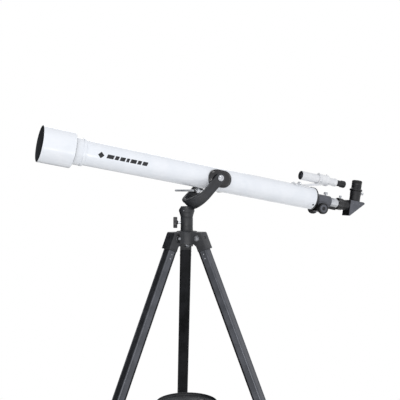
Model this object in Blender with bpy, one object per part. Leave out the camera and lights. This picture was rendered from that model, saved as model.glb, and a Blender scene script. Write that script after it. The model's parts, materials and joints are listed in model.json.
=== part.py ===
"""Refracting telescope on an alt-azimuth fork and a folding tripod.

Metres, +Z up. The tube points along -X and tilts up by TUBE_TILT. The azimuth axis is vertical and the
altitude axis runs along Y. The base empty stands on the ground, under the middle of the whole object.
"""

from math import cos, pi, radians, sin, tan

import bmesh
import bpy
from mathutils import Matrix, Vector

GAP = 0.0003  # between pieces that touch
RUNNING = 0.0004  # between pieces that turn or slide on each other

# Tripod
HINGE_HEIGHT = 0.980  # leg hinges above the ground
HINGE_RADIUS = 0.040  # leg hinges from the azimuth axis
LEG_SPLAY = radians(22.4)
LEG_AZIMUTHS = {"left": radians(190), "right": radians(310), "rear": radians(70)}
LEG_WIDTH = 0.031  # across, along the hinge bolt
LEG_DEPTH = 0.025
LEG_WALL = 0.0016
LEG_TOP = 0.036  # the tube's top end below the hinge, along the leg
UPPER_LEG_END = 0.620
LOWER_LEG_START = 0.560
LEG_CORNER = 0.004
BOLT_RADIUS = 0.004
COLLAR_HEIGHT = 0.060
COLLAR_WALL = 0.0045
FOOT_HEIGHT = 0.034
FOOT_WIDTH = 0.030

# Brace and tray
BRACE_AT = 0.600  # brace hinge below the leg hinge, along the leg
BRACE_OFFSET = 0.026  # brace hinge inside the leg's middle line
BRACE_SLOPE = radians(20)  # rises towards the middle
BRACE_THICKNESS = 0.005
BRACE_DEPTH = 0.014
SPREADER_RADIUS = 0.034
SPREADER_HEIGHT = 0.012
BRACE_TIP_RADIUS = 0.026  # inner brace hinge from the azimuth axis
BOSS_RADIUS = 0.0095  # under the tray
SCREW_WAY = 0.0036
SLOT_START = 0.0110  # inner end of a brace's slot, from the azimuth axis
SLOT_LENGTH = 0.060
TRAY_RADIUS = 0.085
TRAY_RISE = 0.022  # tray floor above the spreader's middle
TRAY_LIP = 0.010

# Hub and post
HUB_TOP = 0.0185  # above the leg hinges
HUB_BOTTOM = -0.018
HUB_RADIUS = 0.031
CHEEK = 0.0045  # hub wall on each side of a leg
POST_RADIUS = 0.017
POST_TOP = 0.057
STEM_RADIUS = 0.012
KNOB_HEIGHT = 0.042
KNOB_AZIMUTH = radians(158)

# Fork
ALTITUDE_BACK = 0.079  # altitude axis behind the azimuth axis
ALTITUDE_HEIGHT = 0.1638  # altitude axis above the leg hinges
FORK_LEAN = radians(47.3)  # arms above the horizontal
FORK_INNER = 0.0415  # half the width between the arms
FORK_THICKNESS = 0.012
FORK_WIDTH = 0.026
FORK_STRAIGHT = 0.058
FORK_REACH = 0.101  # altitude axis to the bottom of the U
COLLAR_RADIUS = 0.0215

# Stay rod: both ends lie at the same distance from the altitude axis, so each turns half as far as the tube
STAY_REACH = 0.035
STAY_DROP = 0.0335
STAY_SIDE = 0.0340
STAY_RADIUS = 0.003
STAY_FREE_END = 0.102

# Tube, measured along its axis from the altitude axis, front positive
TUBE_TILT = radians(9.77)
TUBE_RADIUS = 0.033
TUBE_WALL = 0.0014
TUBE_FRONT = 0.398
TUBE_REAR = -0.333
CELL_RADIUS = 0.0362
CELL_REAR = TUBE_FRONT - 0.025
CELL_FRONT = TUBE_FRONT + 0.020
LENS_RADIUS = 0.030
LENS_REAR = TUBE_FRONT + 0.005
LENS_THICKNESS = 0.009
SHIELD_RADIUS = 0.047
SHIELD_WALL = 0.0016
SHIELD_REAR = TUBE_FRONT + 0.004
SHIELD_FRONT = SHIELD_REAR + 0.084
SADDLE_LENGTH = 0.070
SADDLE_HEIGHT = 0.048
SADDLE_BACK = 0.006  # saddle plate's middle behind the altitude axis

# Focuser
FLANGE_LENGTH = 0.004
CONE_LENGTH = 0.014
HOUSING_RADIUS = 0.0175
HOUSING_REAR = TUBE_REAR - 0.064
DRAWTUBE_RADIUS = 0.0145
DRAWTUBE_WALL = 0.0012
DRAWTUBE_FRONT = TUBE_REAR + 0.003
DRAWTUBE_REAR = HOUSING_REAR - 0.035
DRAW_COLLAR_RADIUS = 0.0185
DRAW_COLLAR_FRONT = DRAWTUBE_REAR + 0.005
DRAW_COLLAR_REAR = DRAWTUBE_REAR - 0.012
PINION_AT = HOUSING_REAR + 0.035
PINION_DROP = 0.026
PINION_RADIUS = 0.0045
KNOB_RADIUS = 0.0165
KNOB_THICKNESS = 0.013
KNOB_INNER = 0.019  # focus knob's inner face from the tube's middle plane

# Diagonal and eyepiece
NOSE_RADIUS = 0.0158
DIAGONAL_FRONT = DRAW_COLLAR_REAR - 0.022
DIAGONAL_REAR = DIAGONAL_FRONT - 0.055
DIAGONAL_TOP = 0.018
DIAGONAL_BOTTOM = -0.031
DIAGONAL_HALF = 0.0175
EYEPIECE_AT = DIAGONAL_FRONT - 0.0265
SOCKET_RADIUS = 0.0170
SOCKET_TOP = 0.050
EYEPIECE_BARREL = 0.0142
EYEPIECE_FLANGE = 0.0195
EYEPIECE_RADIUS = 0.0155
EYEPIECE_TOP = 0.083

# Finder
FINDER_RISE = 0.0620
FINDER_RADIUS = 0.0135
FINDER_FRONT = TUBE_REAR + 0.048
FINDER_STEP = TUBE_REAR - 0.052
FINDER_REAR = TUBE_REAR - 0.079
FINDER_EYE_REAR = TUBE_REAR - 0.112
RING_FRONT = TUBE_REAR - 0.012
RING_REAR = TUBE_REAR - 0.047
RING_RADIUS = 0.0170
BASE_FRONT = TUBE_REAR + 0.071
BASE_REAR = TUBE_REAR + 0.021
BASE_ANGLE = radians(38)  # base plate's half width round the tube

FINE, MEDIUM, COARSE = 40, 24, 12  # sides of large, middling and small round pieces
FULL_TURN = 2 * pi
DRILL_PHASE = radians(4.1)


def clear_scene():
    for obj in list(bpy.data.objects):
        bpy.data.objects.remove(obj, do_unlink=True)


def finish_material(name, color, roughness, metallic):
    material = bpy.data.materials.new(name)
    material.use_nodes = True
    shader = material.node_tree.nodes["Principled BSDF"]
    shader.inputs["Base Color"].default_value = (*color, 1.0)
    shader.inputs["Roughness"].default_value = roughness
    shader.inputs["Metallic"].default_value = metallic
    return material


def empty(name, parent=None, matrix=None):
    obj = bpy.data.objects.new(name, None)
    bpy.context.scene.collection.objects.link(obj)
    obj.parent = parent
    obj.matrix_local = matrix or Matrix()
    return obj


def node(name, shape, finish, parent, matrix=None, helper=False):
    """Turns a bmesh into an object under its parent. A helper only cuts or extends another object."""
    bmesh.ops.recalc_face_normals(shape, faces=shape.faces)
    mesh = bpy.data.meshes.new(name)
    shape.to_mesh(mesh)
    shape.free()
    mesh.shade_smooth()
    mesh.set_sharp_from_angle(angle=radians(32))
    mesh.materials.append(finish)
    obj = bpy.data.objects.new(name, mesh)
    bpy.context.scene.collection.objects.link(obj)
    obj.parent = parent
    obj.matrix_local = matrix or Matrix()
    if helper:
        obj.hide_render = True
        obj.display_type = "WIRE"
    return obj


def combine(target, helper, operation):
    modifier = target.modifiers.new(operation.lower(), "BOOLEAN")
    modifier.operation = operation
    modifier.solver = "EXACT"
    modifier.object = helper


def skin(rings, closed_path=False, caps=True):
    """A surface over rings of points, one quad between neighbours."""
    shape = bmesh.new()
    rows = [[shape.verts.new(point) for point in ring] for ring in rings]
    pairs = list(zip(rows, rows[1:]))
    if closed_path:
        pairs.append((rows[-1], rows[0]))
    for low, high in pairs:
        count = len(low)
        for i in range(count):
            j = (i + 1) % count
            shape.faces.new((low[i], low[j], high[j], high[i]))
    if caps and not closed_path:
        shape.faces.new(rows[0])
        shape.faces.new(rows[-1])
    return shape


def turned(profile, sides, ring=False, phase=0.0):
    """A profile of (radius, height) points turned round Z. A ring's profile closes on itself."""
    shape = bmesh.new()
    rows = []
    for radius, height in profile:
        if radius == 0:
            rows.append([shape.verts.new((0, 0, height))])
            continue
        turns = [phase + FULL_TURN * i / sides for i in range(sides)]
        rows.append([shape.verts.new((radius * cos(t), radius * sin(t), height)) for t in turns])
    pairs = list(zip(rows, rows[1:]))
    if ring:
        pairs.append((rows[-1], rows[0]))
    for low, high in pairs:
        for i in range(sides):
            j = (i + 1) % sides
            corners = [low[i % len(low)], low[j % len(low)], high[j % len(high)], high[i % len(high)]]
            shape.faces.new(list(dict.fromkeys(corners)))
    return shape


def rod(radius, low, high, sides=COARSE):
    return turned([(0, low), (radius, low), (radius, high), (0, high)], sides)


def drill(radius, low, high, sides=COARSE):
    """A cutting rod, turned a little so that its edges miss those of the piece it cuts."""
    return turned([(0, low), (radius, low), (radius, high), (0, high)], sides, phase=DRILL_PHASE)


def sleeve(outer, inner, low, high, sides=MEDIUM):
    return turned([(inner, low), (outer, low), (outer, high), (inner, high)], sides, ring=True)


def slab(outline, low, high):
    """An outline in XY, extruded along Z."""
    return skin([[(x, y, z) for x, y in outline] for z in (low, high)])


def tube_slab(outer, inner, low, high):
    """A hollow extrusion between two outlines of the same number of points."""
    loops = [(outer, low), (outer, high), (inner, high), (inner, low)]
    return skin([[(x, y, z) for x, y in line] for line, z in loops], closed_path=True)


def arc(centre, radius, start, end, steps):
    """Points on an arc, in degrees, both ends included."""
    turns = [radians(start + (end - start) * i / steps) for i in range(steps + 1)]
    return [(centre[0] + radius * cos(t), centre[1] + radius * sin(t)) for t in turns]


def rectangle(width, depth, corner=0.0, steps=2):
    """A rectangle about the origin, width along X, with rounded corners."""
    x, y = width / 2 - corner, depth / 2 - corner
    if corner == 0:
        return [(x, y), (-x, y), (-x, -y), (x, -y)]
    outline = []
    for cx, cy, start in ((x, y, 0), (-x, y, 90), (-x, -y, 180), (x, -y, 270)):
        outline += arc((cx, cy), corner, start, start + 90, steps)
    return outline


def slot_outline(length, radius, steps=5):
    """A bar along X with round ends, whose end centres are length apart."""
    half = length / 2
    return arc((half, 0), radius, -90, 90, steps) + arc((-half, 0), radius, 90, 270, steps)


def lobed(radius, depth, lobes, steps=4):
    """A hand knob's outline: a circle that swells and dips."""
    count = lobes * steps
    turns = [FULL_TURN * i / count for i in range(count)]
    return [((radius - depth * (1 - cos(lobes * t)) / 2) * cos(t),
             (radius - depth * (1 - cos(lobes * t)) / 2) * sin(t)) for t in turns]


def along(axis, spare=(0, 0, 1), at=(0, 0, 0)):
    """A matrix whose Z is the axis and whose X lies as near the spare direction as it can."""
    z = Vector(axis).normalized()
    x = Vector(spare) - z * Vector(spare).dot(z)
    if x.length < 1e-6:
        x = z.orthogonal()
    x.normalize()
    y = z.cross(x)
    turn = Matrix((x, y, z)).transposed().to_4x4()
    return Matrix.Translation(at) @ turn


def tube_turn():
    """Turns the altitude empty so that its Z is the tube's axis, front up, and its X points up."""
    return along((-cos(TUBE_TILT), 0, sin(TUBE_TILT)))


def shifted(x=0.0, y=0.0, z=0.0):
    return Matrix.Translation((x, y, z))


def foot_reach():
    """Foot's middle from the azimuth axis."""
    return HINGE_RADIUS + HINGE_HEIGHT * tan(LEG_SPLAY)


def leg_length():
    """Hinge to ground, along the leg."""
    return HINGE_HEIGHT / cos(LEG_SPLAY)


def brace_hinge():
    """Brace hinge on the leg, as (radius, height above the leg hinges)."""
    radius = HINGE_RADIUS + BRACE_AT * sin(LEG_SPLAY) - BRACE_OFFSET * cos(LEG_SPLAY)
    return radius, -BRACE_AT * cos(LEG_SPLAY) - BRACE_OFFSET * sin(LEG_SPLAY)


def spreader_level():
    """Spreader's middle above the leg hinges."""
    radius, height = brace_hinge()
    return height + (radius - BRACE_TIP_RADIUS) * tan(BRACE_SLOPE)


def make_hub(base, plastic):
    """Casting with the post on top and a pocket from below for each leg."""
    socket = STEM_RADIUS + RUNNING
    collar = HUB_RADIUS - 0.002
    profile = [(socket, HUB_BOTTOM), (collar, HUB_BOTTOM), (HUB_RADIUS, HUB_BOTTOM + 0.002)]
    profile += [(HUB_RADIUS, HUB_TOP - 0.004), (HUB_RADIUS - 0.004, HUB_TOP)]
    profile += [(POST_RADIUS + 0.002, HUB_TOP), (POST_RADIUS, HUB_TOP + 0.002)]
    profile += [(POST_RADIUS, POST_TOP), (socket, POST_TOP)]
    hub = node("hub_casting", turned(profile, MEDIUM, ring=True), plastic, base)
    half = LEG_WIDTH / 2 + GAP + CHEEK
    slope = tan(LEG_SPLAY)
    outer = LEG_DEPTH / 2 / cos(LEG_SPLAY) + RUNNING + 0.0035
    top = HUB_TOP - 0.002
    low = -0.028
    line = [(HINGE_RADIUS + outer - low * slope, low), (HINGE_RADIUS + outer - top * slope, top)]
    line += [(socket + 0.003, top), (socket + 0.003, HUB_BOTTOM + 0.003)]
    line += [(HINGE_RADIUS - 0.012, HUB_BOTTOM + 0.003), (HINGE_RADIUS + 0.006, low)]
    for name, azimuth in LEG_AZIMUTHS.items():
        turn = Matrix.Rotation(azimuth, 4, "Z") @ Matrix.Rotation(pi / 2, 4, "X")
        lobe = node(f"lobe_{name}", slab(line, -half, half), plastic, base, turn, helper=True)
        combine(hub, lobe, "UNION")
    for name, azimuth in LEG_AZIMUTHS.items():
        radial = Matrix.Rotation(azimuth, 4, "Z")
        turn = radial @ Matrix.Rotation(pi / 2, 4, "X")
        pocket = LEG_WIDTH / 2 + GAP
        wall = LEG_DEPTH / 2 / cos(LEG_SPLAY) + RUNNING
        inner = socket + 0.0085
        room = [(HINGE_RADIUS + wall + 0.05 * slope, -0.05), (HINGE_RADIUS + wall - 0.012 * slope, 0.012)]
        room += [(HINGE_RADIUS + wall - 0.010, 0.0145), (inner, 0.0145), (inner, -0.05)]
        cutter = node(f"pocket_{name}", slab(room, -pocket, pocket), plastic, base, turn, helper=True)
        combine(hub, cutter, "DIFFERENCE")
        bolt_way = along((0, 1, 0), at=(HINGE_RADIUS, 0, 0))
        hole = drill(BOLT_RADIUS + RUNNING, -0.05, 0.05)
        cutter = node(f"bolt_way_{name}", hole, plastic, base, radial @ bolt_way, helper=True)
        combine(hub, cutter, "DIFFERENCE")
    side = Matrix.Rotation(KNOB_AZIMUTH, 4, "Z") @ along((1, 0, 0), at=(0, 0, KNOB_HEIGHT))
    way = node("knob_way", drill(0.0034, 0.002, 0.03), plastic, base, side, helper=True)
    combine(hub, way, "DIFFERENCE")
    return hub


def make_azimuth_knob(base, black):
    """Wing screw that clamps the fork's stem in the post."""
    axis = empty("azimuth_knob_axis", base,
                 Matrix.Rotation(KNOB_AZIMUTH, 4, "Z") @ along((1, 0, 0), at=(0, 0, KNOB_HEIGHT)))
    start = STEM_RADIUS + RUNNING
    profile = [(0, start), (0.003, start), (0.003, POST_RADIUS + 0.006), (0.0055, POST_RADIUS + 0.007)]
    profile += [(0.0055, POST_RADIUS + 0.013), (0, POST_RADIUS + 0.013)]
    knob = node("azimuth_knob", turned(profile, COARSE), black, axis)
    wings = slab(slot_outline(0.020, 0.0052, 4), POST_RADIUS + 0.010, POST_RADIUS + 0.021)
    wing = node("azimuth_wings", wings, black, axis, Matrix.Identity(4), helper=True)
    combine(knob, wing, "UNION")


def make_leg(base, name, azimuth, finishes):
    """One leg, its hinge bolt, extension, lock and foot. Its axis empty has Z up along the leg."""
    radial = Matrix.Rotation(azimuth, 4, "Z")
    hinge = empty(f"leg_axis_{name}", base,
                  radial @ shifted(HINGE_RADIUS) @ Matrix.Rotation(-LEG_SPLAY, 4, "Y"))
    black, plastic, steel, rubber = finishes
    across = along((0, 1, 0))
    # Bracket: an eye above, a plug inside the tube below
    depth = LEG_DEPTH / 2
    eye = arc((0, 0), 0.0105, 0, 180, 6)
    outline = eye + [(-depth, -0.014), (-depth, -LEG_TOP), (depth, -LEG_TOP), (depth, -0.014)]
    flat = Matrix.Rotation(pi / 2, 4, "X")
    half = LEG_WIDTH / 2
    bracket = node(f"leg_bracket_{name}", slab(outline, -half, half), plastic, hinge, flat)
    plug = rectangle(LEG_DEPTH - 2 * LEG_WALL - 2 * GAP, LEG_WIDTH - 2 * LEG_WALL - 2 * GAP, 0.0025)
    inside = node(f"plug_{name}", slab(plug, -LEG_TOP - 0.030, -LEG_TOP + 0.002), plastic, hinge,
                  Matrix.Identity(4), helper=True)
    combine(bracket, inside, "UNION")
    way = node(f"eye_way_{name}", drill(BOLT_RADIUS + RUNNING, -0.03, 0.03), plastic, hinge, across, helper=True)
    combine(bracket, way, "DIFFERENCE")
    # Hinge bolt with a head on one side and a nut on the other
    end = half + CHEEK + 2 * GAP
    profile = [(0, -end - 0.006), (0.0065, -end - 0.006), (0.0065, -end), (BOLT_RADIUS, -end)]
    profile += [(BOLT_RADIUS, end), (0.0068, end), (0.0068, end + 0.005), (0, end + 0.005)]
    bolt_place = radial @ along((0, 1, 0), at=(HINGE_RADIUS, 0, 0))
    node(f"hinge_bolt_{name}", turned(profile, COARSE), steel, base, bolt_place)
    # Upper leg
    outer = rectangle(LEG_DEPTH, LEG_WIDTH, LEG_CORNER)
    inner = rectangle(LEG_DEPTH - 2 * LEG_WALL, LEG_WIDTH - 2 * LEG_WALL, LEG_CORNER - LEG_WALL)
    node(f"upper_leg_{name}", tube_slab(outer, inner, -UPPER_LEG_END, -LEG_TOP - GAP), black, hinge)
    # Collar round the tube's end, with ears for the brace
    collar_low = -UPPER_LEG_END - COLLAR_HEIGHT / 2
    collar_high = -UPPER_LEG_END + COLLAR_HEIGHT / 2
    wide = rectangle(LEG_DEPTH + 2 * GAP + 2 * COLLAR_WALL, LEG_WIDTH + 2 * GAP + 2 * COLLAR_WALL, 0.006)
    hole = rectangle(LEG_DEPTH + 2 * GAP, LEG_WIDTH + 2 * GAP, LEG_CORNER)
    collar = node(f"clamp_collar_{name}", slab(wide, collar_low, collar_high), plastic, hinge)
    seat = node(f"seat_{name}", slab(hole, -UPPER_LEG_END - GAP, collar_high + 0.01), plastic, hinge,
                Matrix.Identity(4), helper=True)
    ears = slab([(0, -0.010), (0, 0.018), (-BRACE_OFFSET, 0.007), (-BRACE_OFFSET - 0.0065, 0),
                 (-BRACE_OFFSET, -0.007)], -0.0105, 0.0105)
    ear_place = shifted(z=-BRACE_AT) @ Matrix.Rotation(pi / 2, 4, "X")
    combine(collar, node(f"ears_{name}", ears, plastic, hinge, ear_place, helper=True), "UNION")
    combine(collar, seat, "DIFFERENCE")
    sliding = rectangle(lower_depth() + 2 * RUNNING, lower_width() + 2 * RUNNING, 0.0028)
    through = node(f"through_{name}", slab(sliding, collar_low - 0.01, collar_high), plastic, hinge,
                   Matrix.Identity(4), helper=True)
    combine(collar, through, "DIFFERENCE")
    fork = slab(rectangle(0.060, BRACE_THICKNESS + 2 * RUNNING), -0.030, 0.036)
    fork_place = shifted(-LEG_DEPTH / 2 - COLLAR_WALL - GAP - 0.0303, 0, -BRACE_AT)
    combine(collar, node(f"fork_{name}", fork, plastic, hinge, fork_place, helper=True), "DIFFERENCE")
    # Lock screw on the outer side, bearing on the extension
    lock = empty(f"leg_knob_axis_{name}", hinge, along((1, 0, 0), at=(0, 0, collar_low + 0.014)))
    screw_way = node(f"screw_way_{name}", drill(0.0034, 0, 0.03), plastic, lock, Matrix.Identity(4), helper=True)
    combine(collar, screw_way, "DIFFERENCE")
    face = LEG_DEPTH / 2 + GAP + COLLAR_WALL
    tip = lower_depth() / 2 + GAP
    profile = [(0, tip), (0.003, tip), (0.003, face + 0.002), (0.007, face + 0.002), (0.007, face + 0.006),
               (0, face + 0.006)]
    knob = node(f"leg_knob_{name}", turned(profile, COARSE), black, lock)
    grip = slab(lobed(0.013, 0.003, 5), face + 0.005, face + 0.014)
    combine(knob, node(f"grip_{name}", grip, black, lock, Matrix.Identity(4), helper=True), "UNION")
    # Lower leg and foot
    outer = rectangle(lower_depth(), lower_width(), 0.0025)
    inner = rectangle(lower_depth() - 2 * LEG_WALL, lower_width() - 2 * LEG_WALL, 0.0015)
    low_end = leg_length() - FOOT_HEIGHT
    node(f"lower_leg_{name}", tube_slab(outer, inner, -low_end, -LOWER_LEG_START), black, hinge)
    reach = FOOT_WIDTH / 2
    sole = -leg_length() * cos(LEG_SPLAY)
    tilt = Matrix.Rotation(LEG_SPLAY, 4, "Y")
    run = HINGE_HEIGHT * tan(LEG_SPLAY)
    rise = FOOT_HEIGHT * cos(LEG_SPLAY)
    lean = FOOT_HEIGHT * sin(LEG_SPLAY)
    outline = [(run - reach, sole), (run + reach, sole), (run + reach, sole + 0.008)]
    outline += [(run - lean + reach * 0.86, sole + rise + 0.006), (run - lean - reach * 0.86, sole + rise - 0.006)]
    outline += [(run - reach, sole + 0.008)]
    foot = node(f"foot_{name}", slab(outline, -FOOT_WIDTH / 2, FOOT_WIDTH / 2), rubber, hinge, tilt @ flat)
    cup = rectangle(lower_depth() + 2 * GAP, lower_width() + 2 * GAP, 0.0025)
    cup_way = node(f"cup_{name}", slab(cup, -low_end - GAP, -low_end + 0.05), rubber, hinge,
                   Matrix.Identity(4), helper=True)
    combine(foot, cup_way, "DIFFERENCE")
    # Brace, hinged between the collar's ears
    brace_axis = empty(f"brace_axis_{name}", hinge,
                       shifted(-BRACE_OFFSET, 0, -BRACE_AT) @ Matrix.Rotation(LEG_SPLAY, 4, "Y"))
    radius, _ = brace_hinge()
    length = (radius - BRACE_TIP_RADIUS) / cos(BRACE_SLOPE)
    bar = slab(slot_outline(length, BRACE_DEPTH / 2), -BRACE_THICKNESS / 2, BRACE_THICKNESS / 2)
    lie = Matrix.Rotation(BRACE_SLOPE, 4, "Y") @ shifted(-length / 2) @ flat
    node(f"brace_{name}", bar, black, brace_axis, lie)


def lower_width():
    return LEG_WIDTH - 2 * LEG_WALL - 2 * RUNNING


def lower_depth():
    return LEG_DEPTH - 2 * LEG_WALL - 2 * RUNNING


def make_spreader(base, plastic, black):
    """Slotted middle piece for the braces, with the accessory tray screwed on top."""
    middle = empty("spreader_axis", base, shifted(z=spreader_level()))
    half = SPREADER_HEIGHT / 2
    profile = [(SCREW_WAY, -half), (SPREADER_RADIUS, -half), (SPREADER_RADIUS, half), (BOSS_RADIUS, half)]
    profile += [(BOSS_RADIUS, TRAY_RISE - GAP), (SCREW_WAY, TRAY_RISE - GAP)]
    spreader = node("spreader", turned(profile, MEDIUM, ring=True), plastic, middle)
    for name, azimuth in LEG_AZIMUTHS.items():
        radial = Matrix.Rotation(azimuth, 4, "Z")
        reach = slab(rectangle(SLOT_LENGTH, BRACE_THICKNESS + 2 * RUNNING), -0.02, 0.0145)
        slot = node(f"spreader_slot_{name}", reach, plastic, middle,
                    radial @ shifted(SLOT_START + SLOT_LENGTH / 2), helper=True)
        combine(spreader, slot, "DIFFERENCE")
    floor, lip = TRAY_RISE, TRAY_RISE + TRAY_LIP
    profile = [(SCREW_WAY, floor), (TRAY_RADIUS - 0.004, floor), (TRAY_RADIUS, floor + 0.004)]
    profile += [(TRAY_RADIUS, lip), (TRAY_RADIUS - 0.002, lip), (TRAY_RADIUS - 0.002, floor + 0.005)]
    profile += [(TRAY_RADIUS - 0.005, floor + 0.002), (SCREW_WAY, floor + 0.002)]
    tray = node("accessory_tray", turned(profile, FINE, ring=True), plastic, middle)
    for i in range(3):
        turn = FULL_TURN * i / 3 + LEG_AZIMUTHS["left"] + pi / 3
        spot = shifted(0.050 * cos(turn), 0.050 * sin(turn))
        hole = node(f"eyepiece_rest_{i}", drill(0.0160, 0, 0.05, MEDIUM), plastic, middle, spot, helper=True)
        combine(tray, hole, "DIFFERENCE")
    screw = empty("tray_screw_axis", middle)
    head = floor + 0.002 + GAP
    profile = [(0, -half - 0.004), (0.003, -half - 0.004), (0.003, head), (0.009, head), (0.010, head + 0.002)]
    profile += [(0.010, head + 0.008), (0, head + 0.009)]
    node("tray_screw", turned(profile, COARSE), black, screw)


def fork_path():
    """The U's middle line, as (side, distance from the altitude axis) points."""
    side = FORK_INNER + FORK_THICKNESS / 2
    bend = FORK_REACH - FORK_STRAIGHT
    turns = [pi * i / 12 for i in range(13)]
    curve = [(side * cos(t), FORK_STRAIGHT + bend * sin(t)) for t in turns]
    return [(side, 0.0)] + curve + [(-side, 0.0)]


def make_fork(azimuth, plastic):
    """U-shaped fork that leans back, on a collar and a stem that turns in the post."""
    lean = along((0, 1, 0), spare=(-cos(FORK_LEAN), 0, -sin(FORK_LEAN)),
                 at=(ALTITUDE_BACK, 0, ALTITUDE_HEIGHT))
    # In this frame X runs down the arms, Z is the side and Y is across the arm
    path = fork_path()
    rings = []
    for i, (side, run) in enumerate(path):
        before, after = path[max(i - 1, 0)], path[min(i + 1, len(path) - 1)]
        step = Vector((after[1] - before[1], after[0] - before[0])).normalized()
        out = Vector((-step.y, step.x))
        ring = []
        for thick, wide in rectangle(FORK_THICKNESS, FORK_WIDTH, 0.003, 1):
            ring.append((run + out.x * thick, wide, side + out.y * thick))
        rings.append(ring)
    fork = node("fork", skin(rings), plastic, azimuth, lean)
    side = FORK_INNER + FORK_THICKNESS / 2
    for name, sign in (("far", 1), ("near", -1)):
        tip = turned([(0, side - FORK_THICKNESS / 2), (FORK_WIDTH / 2 - 0.002, side - FORK_THICKNESS / 2),
                      (FORK_WIDTH / 2, side - FORK_THICKNESS / 2 + 0.002),
                      (FORK_WIDTH / 2, side + FORK_THICKNESS / 2 - 0.002),
                      (FORK_WIDTH / 2 - 0.002, side + FORK_THICKNESS / 2),
                      (0, side + FORK_THICKNESS / 2)], MEDIUM)
        place = along((0, sign, 0), at=(ALTITUDE_BACK, 0, ALTITUDE_HEIGHT))
        combine(fork, node(f"tip_{name}", tip, plastic, azimuth, place, helper=True), "UNION")
    start = POST_TOP + GAP
    profile = [(0, -0.008), (STEM_RADIUS, -0.008), (STEM_RADIUS, start), (POST_RADIUS, start)]
    profile += [(POST_RADIUS + 0.001, start + 0.003), (COLLAR_RADIUS, start + 0.016)]
    profile += [(COLLAR_RADIUS, start + 0.020), (COLLAR_RADIUS - 0.006, start + 0.030), (0, start + 0.030)]
    stem = node("fork_stem", turned(profile, MEDIUM), plastic, azimuth, Matrix.Identity(4), helper=True)
    combine(fork, stem, "UNION")
    way = node("pivot_way", drill(0.004 + RUNNING, -0.08, 0.08), plastic, azimuth,
               along((0, 1, 0), at=(ALTITUDE_BACK, 0, ALTITUDE_HEIGHT)), helper=True)
    combine(fork, way, "DIFFERENCE")
    clamp_x, clamp_z = ALTITUDE_BACK - STAY_REACH, ALTITUDE_HEIGHT - STAY_DROP
    way = node("clamp_way", drill(0.004 + RUNNING, STAY_SIDE, 0.08), plastic, azimuth,
               along((0, 1, 0), at=(clamp_x, 0, clamp_z)), helper=True)
    combine(fork, way, "DIFFERENCE")
    way = node("stem_way", drill(0.0042, -0.02, 0.03), plastic, azimuth, Matrix.Identity(4), helper=True)
    combine(fork, way, "DIFFERENCE")


def make_stem_screw(azimuth, steel):
    """Screw and washer under the hub that keep the stem in the post."""
    low = HUB_BOTTOM - RUNNING
    profile = [(0, low - 0.008), (0.0065, low - 0.008), (0.0065, low - 0.002), (0.015, low - 0.002)]
    profile += [(0.015, low), (0.0038, low), (0.0038, 0.025), (0, 0.025)]
    node("stem_screw", turned(profile, COARSE), steel, azimuth)


def make_stay_clamp(azimuth, plastic, chrome):
    """Swivel block on the far arm that the stay rod slides through, and its thumb screw."""
    place = along((0, 1, 0), at=(ALTITUDE_BACK - STAY_REACH, 0, ALTITUDE_HEIGHT - STAY_DROP))
    swivel = empty("stay_clamp_axis", azimuth, place)
    low, high = STAY_SIDE - 0.006, FORK_INNER - GAP
    profile = [(0, low), (0.0075, low), (0.0075, high), (0.004, high)]
    profile += [(0.004, FORK_INNER + FORK_THICKNESS + 0.002), (0, FORK_INNER + FORK_THICKNESS + 0.002)]
    block = node("stay_clamp", turned(profile, MEDIUM), plastic, swivel)
    bore = node("stay_bore", drill(STAY_RADIUS + RUNNING, -0.03, 0.03), plastic, swivel,
                shifted(z=STAY_SIDE) @ along((0, 1, 0)), helper=True)
    combine(block, bore, "DIFFERENCE")
    screw = empty("stay_screw_axis", swivel)
    top = low - GAP
    profile = [(0, top - 0.0065), (0.0062, top - 0.0065), (0.0074, top - 0.0055), (0.0074, top - 0.001)]
    profile += [(0.0062, top), (0, top)]
    node("stay_screw", turned(profile, MEDIUM), chrome, screw)


def make_stay_rod(altitude, chrome):
    """Rod hinged to a lug under the tube. Its free end passes through the clamp."""
    level = tube_turn().inverted()
    pin = empty("stay_rod_axis", altitude, level @ shifted(STAY_REACH, STAY_SIDE, -STAY_DROP))
    shape = rod(STAY_RADIUS, -0.001, STAY_REACH + STAY_FREE_END - 0.002, COARSE)
    bar = node("stay_rod", shape, chrome, pin, along((-1, 0, 0)))
    eye = drill(0.0058, -0.0029, 0.0029)
    combine(bar, node("stay_eye", eye, chrome, pin, along((0, 1, 0)), helper=True), "UNION")
    way = drill(0.0026, -0.01, 0.01)
    combine(bar, node("stay_eye_way", way, chrome, pin, along((0, 1, 0)), helper=True), "DIFFERENCE")


def make_saddles(altitude, plastic, steel):
    """Oval plates on the tube's sides that carry the pivots, and the pivot bolts."""
    for name, sign in (("near", -1), ("far", 1)):
        face = along((0, sign, 0), spare=(0, 0, 1))
        outline = slot_outline(SADDLE_LENGTH - SADDLE_HEIGHT, SADDLE_HEIGHT / 2, 8)
        low, high = 0.020, FORK_INNER - 0.0007
        rings = [[(p, q, low) for p, q in outline], [(p, q, high - 0.003) for p, q in outline]]
        rings.append([(p * 0.94, q * 0.90, high) for p, q in outline])
        place = face @ shifted(-SADDLE_BACK)
        plate = node(f"saddle_{name}", skin(rings), plastic, altitude, place)
        core = node(f"saddle_core_{name}", drill(TUBE_RADIUS + GAP, -0.06, 0.06, FINE), plastic, altitude,
                    Matrix.Identity(4), helper=True)
        combine(plate, core, "DIFFERENCE")
        way = node(f"saddle_way_{name}", drill(0.004 + GAP, 0, 0.06), plastic, altitude, face, helper=True)
        combine(plate, way, "DIFFERENCE")
        end = FORK_INNER + FORK_THICKNESS
        profile = [(0, TUBE_RADIUS + 0.002), (0.004, TUBE_RADIUS + 0.002), (0.004, end + GAP)]
        profile += [(0.0085, end + GAP), (0.0085, end + 0.0025), (0.0070, end + 0.0035), (0, end + 0.0035)]
        node(f"pivot_bolt_{name}", turned(profile, COARSE), steel, altitude, face)


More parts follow.
